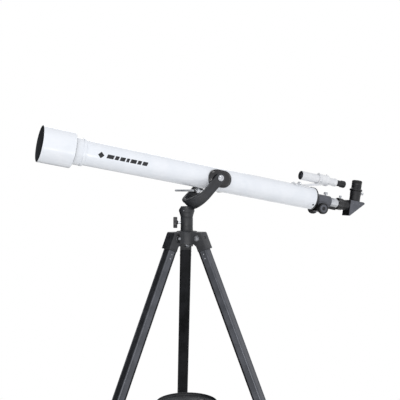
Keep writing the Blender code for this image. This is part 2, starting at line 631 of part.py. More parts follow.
def make_stay_lug(altitude, plastic):
    """Lug on the far side of the tube that carries the stay rod's pin."""
    place = tube_turn().inverted() @ shifted(STAY_REACH, 0, -STAY_DROP) @ along((0, 1, 0), spare=(0, 0, 1))
    inner = STAY_SIDE - 0.003 - GAP
    outline = arc((0, 0), 0.0055, 90, 270, 6) + [(0.010, -0.002), (0.010, 0.015)]
    lug = node("stay_lug", slab(outline, inner - 0.020, inner), plastic, altitude, place)
    core = node("lug_core", drill(TUBE_RADIUS + GAP, -0.06, 0.06, FINE), plastic, altitude,
                Matrix.Identity(4), helper=True)
    combine(lug, core, "DIFFERENCE")
    pin = node("lug_pin", rod(0.0022, inner - 0.006, STAY_SIDE + 0.004), plastic, altitude, place, helper=True)
    combine(lug, pin, "UNION")


def make_tube(altitude, white, glass):
    """Main tube, lens cell, lens and dew shield. Z of the altitude empty is the tube's axis, front up."""
    inner = TUBE_RADIUS - TUBE_WALL
    node("main_tube", sleeve(TUBE_RADIUS, inner, TUBE_REAR, TUBE_FRONT, FINE), white, altitude)
    seat = LENS_RADIUS + GAP
    shoulder = LENS_RADIUS - 0.002
    profile = [(TUBE_RADIUS + GAP, CELL_REAR), (CELL_RADIUS - 0.0006, CELL_REAR)]
    profile += [(CELL_RADIUS, CELL_REAR + 0.002), (CELL_RADIUS, CELL_FRONT), (seat, CELL_FRONT)]
    profile += [(seat, LENS_REAR - GAP), (shoulder, LENS_REAR - GAP), (shoulder, TUBE_FRONT + GAP)]
    profile += [(TUBE_RADIUS + GAP, TUBE_FRONT + GAP)]
    node("lens_cell", turned(profile, FINE, ring=True), white, altitude)
    crown = LENS_REAR + LENS_THICKNESS
    dome = [(LENS_RADIUS * cos(t), crown - 0.0028 + 0.0028 * sin(t)) for t in (0, pi / 6, pi / 3)]
    profile = [(0, LENS_REAR + 0.0008), (LENS_RADIUS, LENS_REAR)] + dome + [(0, crown)]
    node("objective_lens", turned(profile, MEDIUM), glass, altitude)
    wall = SHIELD_RADIUS - SHIELD_WALL
    hole = CELL_RADIUS + GAP
    profile = [(hole, SHIELD_REAR), (SHIELD_RADIUS - 0.002, SHIELD_REAR)]
    profile += [(SHIELD_RADIUS, SHIELD_REAR + 0.0015), (SHIELD_RADIUS, SHIELD_FRONT), (wall, SHIELD_FRONT)]
    profile += [(wall, SHIELD_REAR + 0.003), (hole, SHIELD_REAR + 0.003)]
    node("dew_shield", turned(profile, FINE, ring=True), white, altitude)


def make_focuser(altitude, black, chrome, grey):
    """Focuser body in the tube's rear end, with a rack and pinion drawtube."""
    bore = DRAWTUBE_RADIUS + RUNNING
    plug = TUBE_RADIUS - TUBE_WALL - GAP
    flange_end = TUBE_REAR - GAP - FLANGE_LENGTH
    cone_end = flange_end - CONE_LENGTH
    profile = [(bore, TUBE_REAR + 0.014), (plug, TUBE_REAR + 0.014), (plug, TUBE_REAR - GAP)]
    profile += [(TUBE_RADIUS + 0.0008, TUBE_REAR - GAP), (TUBE_RADIUS + 0.0008, flange_end)]
    profile += [(HOUSING_RADIUS + 0.006, (flange_end + cone_end) / 2), (HOUSING_RADIUS, cone_end)]
    profile += [(HOUSING_RADIUS, HOUSING_REAR), (bore, HOUSING_REAR)]
    body = node("focuser_body", turned(profile[::-1], MEDIUM, ring=True), grey, altitude)
    pinion_place = along((0, 1, 0), at=(-PINION_DROP, 0, PINION_AT))
    cover = slab(rectangle(0.026, 0.030, 0.005), -KNOB_INNER + 0.002, KNOB_INNER - 0.002)
    lift = shifted(0.005, 0, 0)
    combine(body, node("pinion_cover", cover, grey, altitude, lift @ pinion_place, helper=True), "UNION")
    combine(body, node("draw_way", drill(bore, -0.5, TUBE_REAR + 0.03, MEDIUM), grey, altitude,
                       Matrix.Identity(4), helper=True), "DIFFERENCE")
    rack = slab(rectangle(0.012, 0.0072), -0.5, TUBE_REAR + 0.03)
    combine(body, node("rack_way", rack, grey, altitude, shifted(-bore - 0.0005), helper=True), "DIFFERENCE")
    shaft = drill(0.0030 + RUNNING, -0.05, 0.05)
    combine(body, node("shaft_way", shaft, grey, altitude, pinion_place, helper=True), "DIFFERENCE")
    room = drill(PINION_RADIUS + 0.0008, -0.0042, 0.0042, COARSE)
    combine(body, node("pinion_room", room, grey, altitude, pinion_place, helper=True), "DIFFERENCE")
    lock_place = along((1, 0, 0), at=(0, 0, HOUSING_REAR + 0.014))
    lock_way = drill(0.0024 + GAP, DRAWTUBE_RADIUS - 0.003, 0.03)
    combine(body, node("lock_way", lock_way, grey, altitude, lock_place, helper=True), "DIFFERENCE")
    lock = empty("focus_lock_axis", altitude, lock_place)
    profile = [(0, DRAWTUBE_RADIUS + GAP), (0.0024, DRAWTUBE_RADIUS + GAP), (0.0024, HOUSING_RADIUS + 0.002)]
    profile += [(0.0055, HOUSING_RADIUS + 0.002), (0.0060, HOUSING_RADIUS + 0.009), (0, HOUSING_RADIUS + 0.010)]
    node("focus_lock_screw", turned(profile, COARSE), black, lock)
    # Drawtube with its rack
    slide = empty("drawtube_axis", altitude)
    inner = DRAWTUBE_RADIUS - DRAWTUBE_WALL
    drawtube = node("drawtube", sleeve(DRAWTUBE_RADIUS, inner, DRAWTUBE_REAR, DRAWTUBE_FRONT, MEDIUM),
                    chrome, slide)
    strip = slab(rectangle(PINION_DROP - PINION_RADIUS - GAP - inner - 0.0006, 0.0060),
                 DRAWTUBE_REAR + 0.008, DRAWTUBE_FRONT - 0.004)
    middle = (PINION_DROP - PINION_RADIUS - GAP + inner + 0.0006) / 2
    combine(drawtube, node("rack", strip, chrome, slide, shifted(-middle), helper=True), "UNION")
    profile = [(DRAWTUBE_RADIUS + GAP, DRAW_COLLAR_FRONT), (DRAW_COLLAR_RADIUS, DRAW_COLLAR_FRONT)]
    profile += [(DRAW_COLLAR_RADIUS, DRAW_COLLAR_REAR), (NOSE_RADIUS + RUNNING, DRAW_COLLAR_REAR)]
    profile += [(NOSE_RADIUS + RUNNING, DRAWTUBE_REAR - GAP), (DRAWTUBE_RADIUS + GAP, DRAWTUBE_REAR - GAP)]
    collar = node("drawtube_collar", turned(profile[::-1], MEDIUM, ring=True), black, slide)
    screw_place = along((1, 0, 0), at=(0, 0, DRAW_COLLAR_REAR + 0.006))
    way = node("collar_way", drill(0.0018 + GAP, 0.012, 0.03), black, slide, screw_place, helper=True)
    combine(collar, way, "DIFFERENCE")
    axis = empty("collar_screw_axis", slide, screw_place)
    profile = [(0, NOSE_RADIUS + GAP), (0.0018, NOSE_RADIUS + GAP), (0.0018, DRAW_COLLAR_RADIUS + 0.0015)]
    profile += [(0.0042, DRAW_COLLAR_RADIUS + 0.0015), (0.0042, DRAW_COLLAR_RADIUS + 0.0075)]
    profile += [(0, DRAW_COLLAR_RADIUS + 0.0080)]
    node("collar_screw", turned(profile, COARSE), chrome, axis)
    # Pinion shaft with a knob on each end
    pinion = empty("pinion_axis", altitude, pinion_place)
    end = KNOB_INNER + KNOB_THICKNESS - 0.003
    profile = [(0, -end), (0.003, -end), (0.003, -0.0035), (PINION_RADIUS, -0.0035), (PINION_RADIUS, 0.0035)]
    profile += [(0.003, 0.0035), (0.003, end), (0, end)]
    shaft = node("focus_shaft", turned(profile, COARSE), chrome, pinion)
    outer = KNOB_INNER + KNOB_THICKNESS
    rim = [(0.008, KNOB_INNER - 0.001), (0.009, KNOB_INNER + 0.002)]
    rim += [(KNOB_RADIUS - 0.001, KNOB_INNER + 0.002), (KNOB_RADIUS, KNOB_INNER + 0.003)]
    rim += [(KNOB_RADIUS, outer - 0.001), (KNOB_RADIUS - 0.001, outer), (0, outer)]
    hole = 0.003 + GAP
    near = [(0, outer - 0.0025), (hole, outer - 0.0025), (hole, KNOB_INNER - 0.001)]
    node("focus_knob", turned(near + rim, MEDIUM), black, pinion, along((0, 0, -1)))
    far = turned([(0, KNOB_INNER - 0.001)] + rim, MEDIUM)
    combine(shaft, node("far_knob", far, black, pinion, Matrix.Identity(4), helper=True), "UNION")
    return slide


def make_diagonal(slide, black, mirror, chrome):
    """Star diagonal: nose barrel, prism-shaped body, eyepiece socket and mirror."""
    turn = empty("diagonal_axis", slide)
    half = DIAGONAL_HALF
    cut_back = 0.004
    outline = [(DIAGONAL_TOP, DIAGONAL_FRONT), (DIAGONAL_TOP, DIAGONAL_REAR + cut_back),
               (DIAGONAL_TOP - cut_back, DIAGONAL_REAR), (DIAGONAL_BOTTOM, DIAGONAL_FRONT - cut_back),
               (DIAGONAL_BOTTOM, DIAGONAL_FRONT)]
    side = Matrix(((1, 0, 0, 0), (0, 0, -1, 0), (0, 1, 0, 0), (0, 0, 0, 1)))
    body = node("diagonal_body", slab(outline, -half, half), black, turn, side)
    nose_inner = NOSE_RADIUS - 0.0030
    nose = rod(NOSE_RADIUS, DIAGONAL_FRONT - 0.002, DRAWTUBE_REAR - 2 * GAP, MEDIUM)
    combine(body, node("nose", nose, black, turn, Matrix.Identity(4), helper=True), "UNION")
    up = along((1, 0, 0), spare=(0, 0, 1), at=(0, 0, EYEPIECE_AT))
    socket = rod(SOCKET_RADIUS, DIAGONAL_TOP - 0.002, SOCKET_TOP, MEDIUM)
    combine(body, node("socket", socket, black, turn, up, helper=True), "UNION")
    light_way = drill(nose_inner, EYEPIECE_AT - 0.0013, DRAWTUBE_REAR + 0.02, MEDIUM)
    combine(body, node("light_way", light_way, black, turn, Matrix.Identity(4), helper=True), "DIFFERENCE")
    socket_way = drill(EYEPIECE_BARREL + RUNNING, -0.0027, SOCKET_TOP + 0.02, MEDIUM)
    combine(body, node("socket_way", socket_way, black, turn, up, helper=True), "DIFFERENCE")
    slope = Vector((DIAGONAL_BOTTOM - (DIAGONAL_TOP - cut_back), 0, DIAGONAL_FRONT - cut_back - DIAGONAL_REAR))
    middle = Vector((0.0, 0, EYEPIECE_AT + 0.001))
    normal = Vector((slope.z, 0, -slope.x)).normalized()
    if normal.x < 0:
        normal.negate()
    place = along(normal, spare=(0, 1, 0), at=middle - normal * 0.0068)
    pad = slab(rectangle(0.0250, 0.0260), 0.0, 0.0025)
    room = slab(rectangle(0.0256, 0.0266), -GAP, 0.0120)
    combine(body, node("mirror_room", room, black, turn, place, helper=True), "DIFFERENCE")
    node("diagonal_mirror", pad, mirror, turn, place)
    screw_place = up @ along((-0.9, 0.4, 0), at=(0, 0, SOCKET_TOP - 0.006))
    way = node("socket_screw_way", drill(0.0018 + GAP, 0.010, 0.03), black, turn, screw_place, helper=True)
    combine(body, way, "DIFFERENCE")
    axis = empty("socket_screw_axis", turn, screw_place)
    profile = [(0, EYEPIECE_BARREL + RUNNING + GAP), (0.0018, EYEPIECE_BARREL + RUNNING + GAP)]
    profile += [(0.0018, SOCKET_RADIUS + 0.0015), (0.0040, SOCKET_RADIUS + 0.0015)]
    profile += [(0.0040, SOCKET_RADIUS + 0.0070), (0, SOCKET_RADIUS + 0.0075)]
    node("socket_screw", turned(profile, COARSE), chrome, axis)
    return turn, up


def make_eyepiece(turn, up, black, rubber):
    """Eyepiece barrel and body in one shell, and a rubber eyecup."""
    lift = empty("eyepiece_axis", turn, up)
    start = SOCKET_TOP - 0.024
    flange = SOCKET_TOP + GAP
    bore = EYEPIECE_BARREL - 0.0016
    eye_seat = EYEPIECE_TOP - 0.009
    profile = [(bore, start), (EYEPIECE_BARREL, start), (EYEPIECE_BARREL, flange), (EYEPIECE_FLANGE, flange)]
    profile += [(EYEPIECE_FLANGE, flange + 0.005), (EYEPIECE_RADIUS, flange + 0.007)]
    profile += [(EYEPIECE_RADIUS, eye_seat), (bore, eye_seat)]
    node("eyepiece_body", turned(profile, MEDIUM, ring=True), black, lift)
    low = eye_seat + GAP
    hole = 0.0095
    profile = [(hole, low), (EYEPIECE_RADIUS, low), (EYEPIECE_RADIUS, EYEPIECE_TOP - 0.003)]
    profile += [(EYEPIECE_RADIUS - 0.0025, EYEPIECE_TOP), (hole + 0.002, EYEPIECE_TOP)]
    profile += [(hole, EYEPIECE_TOP - 0.003)]
    node("eyecup", turned(profile, MEDIUM, ring=True), rubber, lift)


def make_finder(altitude, white, black, chrome):
    """Finder scope in a ring, on a curved foot held to the tube by two thumb nuts."""
    foot = []
    steps = 8
    for radius in (TUBE_RADIUS - 0.001, TUBE_RADIUS + 0.0028):
        turns = [BASE_ANGLE * (2 * i / steps - 1) for i in range(steps + 1)]
        line = [(radius * cos(t), radius * sin(t)) for t in turns]
        foot += line if not foot else line[::-1]
    bracket = node("finder_bracket", slab(foot, BASE_REAR, BASE_FRONT), white, altitude)
    # Stalk from the foot back and up to the ring
    stalk = []
    for i in range(7):
        share = i / 6
        rise = TUBE_RADIUS - 0.002 + share * (FINDER_RISE - RING_RADIUS + 0.004 - TUBE_RADIUS)
        back = BASE_FRONT - 0.030 + (RING_REAR + 0.018 - BASE_FRONT + 0.030) * share ** 0.8
        ring = [(rise, wide, back + deep) for deep, wide in rectangle(0.030, 0.020 - 0.004 * share, 0.003, 1)]
        stalk.append(ring)
    combine(bracket, node("stalk", skin(stalk), white, altitude, Matrix.Identity(4), helper=True), "UNION")
    core = drill(TUBE_RADIUS + GAP, BASE_REAR - 0.05, BASE_FRONT + 0.05, FINE)
    combine(bracket, node("foot_core", core, white, altitude, Matrix.Identity(4), helper=True), "DIFFERENCE")
    raised = shifted(FINDER_RISE)
    ring_body = rod(RING_RADIUS, RING_REAR, RING_FRONT, MEDIUM)
    combine(bracket, node("ring_body", ring_body, white, altitude, raised, helper=True), "UNION")
    opening = drill(FINDER_RADIUS + GAP, RING_REAR - 0.01, RING_FRONT + 0.01, MEDIUM)
    combine(bracket, node("ring_way", opening, white, altitude, raised, helper=True), "DIFFERENCE")
    for name, turn in (("near", -radians(25)), ("far", radians(25))):
        place = along((cos(turn), sin(turn), 0), at=(0, 0, BASE_FRONT - 0.012))
        way = drill(0.0020 + GAP, TUBE_RADIUS - 0.01, TUBE_RADIUS + 0.02)
        combine(bracket, node(f"stud_way_{name}", way, white, altitude, place, helper=True), "DIFFERENCE")
        low = TUBE_RADIUS + GAP + 0.0003
        face = TUBE_RADIUS + 0.0032
        profile = [(0, low), (0.0020, low), (0.0020, face), (0.0050, face), (0.0054, face + 0.001)]
        profile += [(0.0054, face + 0.006), (0, face + 0.007)]
        axis = empty(f"finder_nut_axis_{name}", altitude, place)
        node(f"finder_nut_{name}", turned(profile, COARSE), chrome, axis)
    inner = FINDER_RADIUS - 0.0015
    profile = [(inner, FINDER_FRONT - 0.010), (inner, FINDER_FRONT), (FINDER_RADIUS, FINDER_FRONT)]
    profile += [(FINDER_RADIUS, FINDER_STEP), (0.0112, FINDER_STEP - 0.006), (0.0112, FINDER_REAR + 0.008)]
    profile += [(0.0122, FINDER_REAR + 0.007), (0.0122, FINDER_REAR), (0.0080, FINDER_REAR)]
    profile += [(0.0080, FINDER_STEP - 0.004)]
    node("finder_tube", turned(profile, MEDIUM, ring=True), white, altitude, raised)
    focus = empty("finder_eyepiece_axis", altitude, raised)
    end = FINDER_EYE_REAR
    profile = [(0, FINDER_REAR + 0.015), (0.0076, FINDER_REAR + 0.015), (0.0076, FINDER_REAR - GAP)]
    profile += [(0.0092, FINDER_REAR - GAP), (0.0092, end + 0.014), (0.0108, end + 0.011)]
    profile += [(0.0108, end + 0.002), (0.0095, end), (0.0055, end), (0, end + 0.004)]
    node("finder_eyepiece", turned(profile[::-1], MEDIUM), black, focus)


def ground_middle():
    """Middle of the whole object's outline on the ground, from the azimuth axis."""
    reach = foot_reach()
    half = FOOT_WIDTH / 2
    xs = [reach * cos(a) for a in LEG_AZIMUTHS.values()]
    ys = [reach * sin(a) for a in LEG_AZIMUTHS.values()]
    grow_x = [half * (abs(cos(a)) + abs(sin(a))) for a in LEG_AZIMUTHS.values()]
    low_x = min(x - g for x, g in zip(xs, grow_x))
    tail = ALTITUDE_BACK - DIAGONAL_REAR * cos(TUBE_TILT) + DIAGONAL_TOP * sin(TUBE_TILT)
    high_x = max([tail] + [x + g for x, g in zip(xs, grow_x)])
    low_y = min(y - g for y, g in zip(ys, grow_x))
    high_y = max(y + g for y, g in zip(ys, grow_x))
    return (low_x + high_x) / 2, (low_y + high_y) / 2


def main():
    clear_scene()
    plastic = finish_material("charcoal_abs", (0.045, 0.045, 0.048), 0.45, 0.0)
    black = finish_material("black_abs", (0.012, 0.012, 0.013), 0.38, 0.0)
    grey = finish_material("focuser_grey", (0.06, 0.06, 0.07), 0.35, 0.0)
    anodised = finish_material("black_anodised_aluminium", (0.03, 0.03, 0.032), 0.35, 0.6)
    white = finish_material("white_enamel", (0.82, 0.82, 0.84), 0.22, 0.0)
    chrome = finish_material("chrome_plate", (0.75, 0.75, 0.76), 0.12, 1.0)
    steel = finish_material("zinc_steel", (0.45, 0.45, 0.46), 0.35, 1.0)
    rubber = finish_material("black_rubber", (0.015, 0.015, 0.015), 0.8, 0.0)
    glass = finish_material("coated_glass", (0.10, 0.12, 0.16), 0.03, 0.0)
    mirror = finish_material("mirror_coat", (0.85, 0.85, 0.86), 0.05, 1.0)

    middle_x, middle_y = ground_middle()
    base = empty("tripod_axis", None, shifted(-middle_x, -middle_y, HINGE_HEIGHT))
    make_hub(base, plastic)
    make_azimuth_knob(base, black)
    for name, azimuth in LEG_AZIMUTHS.items():
        make_leg(base, name, azimuth, (anodised, plastic, steel, rubber))
    make_spreader(base, plastic, black)
    azimuth = empty("azimuth_axis", base)
    make_fork(azimuth, plastic)
    make_stem_screw(azimuth, steel)
    make_stay_clamp(azimuth, plastic, chrome)
    altitude = empty("altitude_axis", azimuth, shifted(ALTITUDE_BACK, 0, ALTITUDE_HEIGHT) @ tube_turn())
    make_tube(altitude, white, glass)
    make_saddles(altitude, black, steel)
    make_stay_lug(altitude, plastic)
    make_stay_rod(altitude, chrome)
    slide = make_focuser(altitude, black, chrome, grey)
    turn, up = make_diagonal(slide, black, mirror, chrome)
    make_eyepiece(turn, up, black, rubber)
    make_finder(altitude, white, black, chrome)


main()
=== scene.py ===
"""Looks for a refracting telescope on a fork mount and a folding tripod.

Sizes in the classes are in millimetres. Places come from the frame's joints, in metres: each sub-assembly is
built about the joint that carries it. In a tube place, Z runs forward along the optical axis and X points up.
"""

import json
import logging
from dataclasses import dataclass
from enum import Enum
from math import cos, pi, radians, sin, sqrt
from typing import Callable, Sequence

import bmesh
import bpy
from mathutils import Matrix, Vector


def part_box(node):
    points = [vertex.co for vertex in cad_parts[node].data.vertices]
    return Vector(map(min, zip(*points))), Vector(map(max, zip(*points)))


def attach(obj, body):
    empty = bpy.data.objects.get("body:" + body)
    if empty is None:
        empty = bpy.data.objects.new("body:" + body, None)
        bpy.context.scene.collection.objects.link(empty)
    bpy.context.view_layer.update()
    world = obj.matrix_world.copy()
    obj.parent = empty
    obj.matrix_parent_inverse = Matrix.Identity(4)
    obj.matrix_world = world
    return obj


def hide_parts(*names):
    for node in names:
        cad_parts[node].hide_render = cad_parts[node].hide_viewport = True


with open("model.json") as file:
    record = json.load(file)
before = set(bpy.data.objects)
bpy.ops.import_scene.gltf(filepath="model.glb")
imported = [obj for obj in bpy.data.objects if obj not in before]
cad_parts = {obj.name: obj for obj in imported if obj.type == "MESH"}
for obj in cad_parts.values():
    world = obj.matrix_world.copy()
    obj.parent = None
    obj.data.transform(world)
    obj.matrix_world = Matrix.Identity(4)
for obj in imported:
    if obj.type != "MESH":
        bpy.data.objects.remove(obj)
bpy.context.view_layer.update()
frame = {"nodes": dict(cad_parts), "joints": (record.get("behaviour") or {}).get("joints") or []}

logging.basicConfig(level=logging.INFO, format="%(levelname)s %(message)s")
log = logging.getLogger("telescope")

MM = 0.001
TURN = 2 * pi
Point = tuple[float, float]
JOINTS = {joint["name"]: joint for joint in frame["joints"]}
LEGS = ("left", "right", "rear")


class Slot(Enum):
    """The record's material slots."""

    CHARCOAL = "charcoal_abs"
    BLACK = "black_abs"
    GREY = "focuser_grey"
    ANODISED = "black_anodised_aluminium"
    WHITE = "white_enamel"
    CHROME = "chrome_plate"
    ZINC = "zinc_steel"
    RUBBER = "black_rubber"
    GLASS = "coated_glass"
    MIRROR = "mirror_coat"


# ---------------------------------------------------------------------------------------------- places


def basis(z: Sequence[float], x: Sequence[float], at: Sequence[float]) -> Matrix:
    """A place from its Z axis, a direction near its X axis and its origin.

    Args:
        z: direction of the Z axis.
        x: direction that X leans towards.
        at: origin in metres.

    Returns:
        The place as a 4x4 matrix.
    """
    z_axis = Vector(z).normalized()
    x_axis = Vector(x) - z_axis * Vector(x).dot(z_axis)
    if x_axis.length < 1e-6:
        x_axis = z_axis.orthogonal()
    x_axis.normalize()
    turn = Matrix((x_axis, z_axis.cross(x_axis), z_axis)).transposed().to_4x4()
    return Matrix.Translation(at) @ turn


def joint_place(name: str, x: Sequence[float] = (0, 0, 1)) -> Matrix:
    """A hinge's place: its axis is Z, and its point is the origin."""
    return basis(JOINTS[name]["axis"], x, JOINTS[name]["pos_m"])


def tube_place() -> Matrix:
    """The optical axis through the altitude joint: Z forward, X up."""
    return basis(JOINTS["dew_shield_pull"]["axis"], (0, 0, 1), JOINTS["altitude_tilt"]["pos_m"])


def leg_place(leg: str) -> Matrix:
    """A leg's place at its hinge: Z up along the leg, X outward."""
    up = Vector(JOINTS[f"leg_extend_{leg}"]["axis"])
    across = Vector(JOINTS[f"leg_fold_{leg}"]["axis"])
    return basis(up, across.cross(up), JOINTS[f"leg_fold_{leg}"]["pos_m"])


def moved(x: float = 0, y: float = 0, z: float = 0) -> Matrix:
    """A shift in millimetres."""
    return Matrix.Translation((x * MM, y * MM, z * MM))


def facing(z: Sequence[float], x: Sequence[float] = (0, 0, 1), at: Sequence[float] = (0, 0, 0)) -> Matrix:
    """A place inside another one, with its origin in millimetres."""
    return basis(z, x, [v * MM for v in at])


# ---------------------------------------------------------------------------------------------- shapes


def arc(cx: float, cy: float, radius: float, start: float, end: float, steps: int) -> list[Point]:
    """Points on an arc, in degrees, both ends included."""
    turns = [radians(start + (end - start) * i / steps) for i in range(steps + 1)]
    return [(cx + radius * cos(t), cy + radius * sin(t)) for t in turns]


def rounded(width: float, depth: float, corner: float, steps: int = 6) -> list[Point]:
    """A rectangle about the origin with rounded corners, width along X."""
    x, y = width / 2 - corner, depth / 2 - corner
    outline: list[Point] = []
    for cx, cy, start in ((x, y, 0), (-x, y, 90), (-x, -y, 180), (x, -y, 270)):
        outline += arc(cx, cy, corner, start, start + 90, steps)
    return outline


def stadium(length: float, radius: float, steps: int = 16) -> list[Point]:
    """A bar along X with round ends, whose end centres are length apart."""
    return arc(length / 2, 0, radius, -90, 90, steps) + arc(-length / 2, 0, radius, 90, 270, steps)


def toothed(radius: float, depth: float, teeth: int, steps: int = 4, sharpness: float = 1.0) -> list[Point]:
    """A grip's outline: a circle that dips between its teeth.

    Args:
        radius: over the teeth.
        depth: of the valleys.
        teeth: how many.
        steps: points for each tooth.
        sharpness: above 1 makes narrow valleys, below 1 narrow crests.

    Returns:
        The outline.
    """
    count = teeth * steps
    outline = []
    for i in range(count):
        t = TURN * i / count
        r = radius - depth * (0.5 - 0.5 * cos(teeth * t)) ** sharpness
        outline.append((r * cos(t), r * sin(t)))
    return outline


def eased(corners: Sequence[Point], size: float, steps: int = 4) -> list[Point]:
    """A polygon with its corners rounded, starting size before and after each."""
    outline = []
    for i, corner in enumerate(corners):
        here = Vector(corner)
        back = Vector(corners[i - 1]) - here
        on = Vector(corners[(i + 1) % len(corners)]) - here
        start = here + back.normalized() * min(size, back.length * 0.45)
        end = here + on.normalized() * min(size, on.length * 0.45)
        for k in range(steps + 1):
            t = k / steps
            point = start * (1 - t) ** 2 + here * 2 * t * (1 - t) + end * t * t
            outline.append((point.x, point.y))
    return outline


def grown(outline: Sequence[Point], amount: float) -> list[Point]:
    """The outline moved outward along its normals; a negative amount moves it inward."""
    count = len(outline)
    made = []
    for i in range(count):
        before, here, after = outline[i - 1], outline[i], outline[(i + 1) % count]
        edge = Vector((after[0] - before[0], after[1] - before[1]))
        if edge.length < 1e-9:
            made.append(here)
            continue
        edge.normalize()
        made.append((here[0] + edge.y * amount, here[1] - edge.x * amount))
    return made


def loft(rings: Sequence[Sequence[Sequence[float]]], closed: bool = False, caps: bool = True) -> bmesh.types.BMesh:
    """A surface over rings of points in millimetres.

    Args:
        rings: rings with the same number of points.
        closed: joins the last ring to the first.
        caps: closes both ends.

    Returns:
        The shape.
    """
    shape = bmesh.new()
    rows = [[shape.verts.new(point) for point in ring] for ring in rings]
    pairs = list(zip(rows, rows[1:])) + ([(rows[-1], rows[0])] if closed else [])
    for low, high in pairs:
        for i in range(len(low)):
            j = (i + 1) % len(low)
            shape.faces.new((low[i], low[j], high[j], high[i]))
    if caps and not closed:
        shape.faces.new(rows[0][::-1])
        shape.faces.new(rows[-1])
    return shape


def turned(profile: Sequence[Point], sides: int = 96, ring: bool = False) -> bmesh.types.BMesh:
    """A profile of (radius, height) turned round Z. A ring's profile closes on itself."""
    shape = bmesh.new()
    rows = []
    for radius, height in profile:
        if radius == 0:
            rows.append([shape.verts.new((0, 0, height))])
        else:
            turns = [TURN * i / sides for i in range(sides)]
            rows.append([shape.verts.new((radius * cos(t), radius * sin(t), height)) for t in turns])
    for low, high in list(zip(rows, rows[1:])) + ([(rows[-1], rows[0])] if ring else []):
        for i in range(sides):
            j = (i + 1) % sides
            ring_of = [low[i % len(low)], low[j % len(low)], high[j % len(high)], high[i % len(high)]]
            shape.faces.new(list(dict.fromkeys(ring_of)))
    return shape


def softened(profile: Sequence[Point], edge: float, steps: int = 3, ring: bool = False) -> list[Point]:
    """A profile with its corners rounded.

    Args:
        profile: (radius, height) points.
        edge: size of the rounding, cut down where a side is short.
        steps: segments in each rounding.
        ring: whether the profile closes on itself.

    Returns:
        The rounded profile.
    """
    count = len(profile)
    made: list[Point] = []
    for i, here in enumerate(profile):
        if not ring and i in (0, count - 1):
            made.append(here)
            continue
        corner = Vector(here)
        back = Vector(profile[i - 1]) - corner
        on = Vector(profile[(i + 1) % count]) - corner
        if back.length < 1e-6 or on.length < 1e-6 or back.angle(on) > radians(170):
            made.append(here)
            continue
        reach = min(edge, back.length * 0.45, on.length * 0.45)
        start, end = corner + back.normalized() * reach, corner + on.normalized() * reach
        for k in range(steps + 1):
            t = k / steps
            point = start * (1 - t) ** 2 + corner * 2 * t * (1 - t) + end * t * t
            made.append((point.x, point.y))
    return made


def lathe(profile: Sequence[Point], edge: float = 0.4, sides: int = 96, ring: bool = False) -> bmesh.types.BMesh:
    """A turned piece with softened corners."""
    return turned(softened(profile, edge, ring=ring), sides, ring)


def pad(outline: Sequence[Point], low: float, high: float, edge: float = 0.5, steps: int = 3) -> bmesh.types.BMesh:
    """An extruded outline with rounded top and bottom edges."""
    turns = [pi / 2 * i / steps for i in range(steps + 1)]
    lower = [(t, low + edge * (1 - sin(t))) for t in reversed(turns)]
    upper = [(t, high - edge * (1 - sin(t))) for t in turns]
    rings = [[(x, y, z) for x, y in grown(outline, -edge * (1 - cos(t)))] for t, z in lower + upper]
    return loft(rings)


def merged(*shapes: bmesh.types.BMesh) -> bmesh.types.BMesh:
    """Several closed shapes kept in one mesh."""
    whole = bmesh.new()
    for shape in shapes:
        mesh = bpy.data.meshes.new("part")
        shape.to_mesh(mesh)
        shape.free()
        whole.from_mesh(mesh)
        bpy.data.meshes.remove(mesh)
    return whole


def shifted(shape: bmesh.types.BMesh, x: float = 0, y: float = 0, z: float = 0,
            turn: Matrix | None = None) -> bmesh.types.BMesh:
    """The shape turned, then moved in millimetres."""
    bmesh.ops.transform(shape, matrix=Matrix.Translation((x, y, z)) @ (turn or Matrix()), verts=shape.verts)
    return shape


def painted(shape: bmesh.types.BMesh, slot: int, test: Callable[[Vector, Vector], bool]) -> bmesh.types.BMesh:
    """Gives a second finish to the faces whose middle and normal pass the test."""
    shape.normal_update()
    for face in shape.faces:
        if test(face.calc_center_median(), face.normal):
            face.material_index = slot
    return shape


def piece(name: str, shape: bmesh.types.BMesh, place: Matrix, body: str, finishes: Sequence[bpy.types.Material],
          stands_for: Sequence[str] = (), sharp: float = 35) -> bpy.types.Object:
    """Turns a shape in millimetres into a finished piece that rides on a body.

    Args:
        name: the piece's name.
        shape: its mesh, in the place's own millimetres.
        place: where it stands in the frame.
        body: the body that carries it.
        finishes: its materials, in the order of its face slots.
        stands_for: the frame's nodes that it replaces.
        sharp: edges over this many degrees stay sharp.

    Returns:
        The object.
    """
    bmesh.ops.recalc_face_normals(shape, faces=shape.faces)
    bmesh.ops.scale(shape, vec=(MM, MM, MM), verts=shape.verts)
    mesh = bpy.data.meshes.new(name)
    shape.to_mesh(mesh)
    shape.free()
    mesh.shade_smooth()
    mesh.set_sharp_from_angle(angle=radians(sharp))
    for finish in finishes:
        mesh.materials.append(finish)
    obj = bpy.data.objects.new(name, mesh)
    bpy.context.scene.collection.objects.link(obj)
    obj.matrix_world = place
    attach(obj, body)
    if stands_for:
        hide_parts(*stands_for)
    log.info("%s on %s: %d faces", name, body, len(mesh.polygons))
    return obj


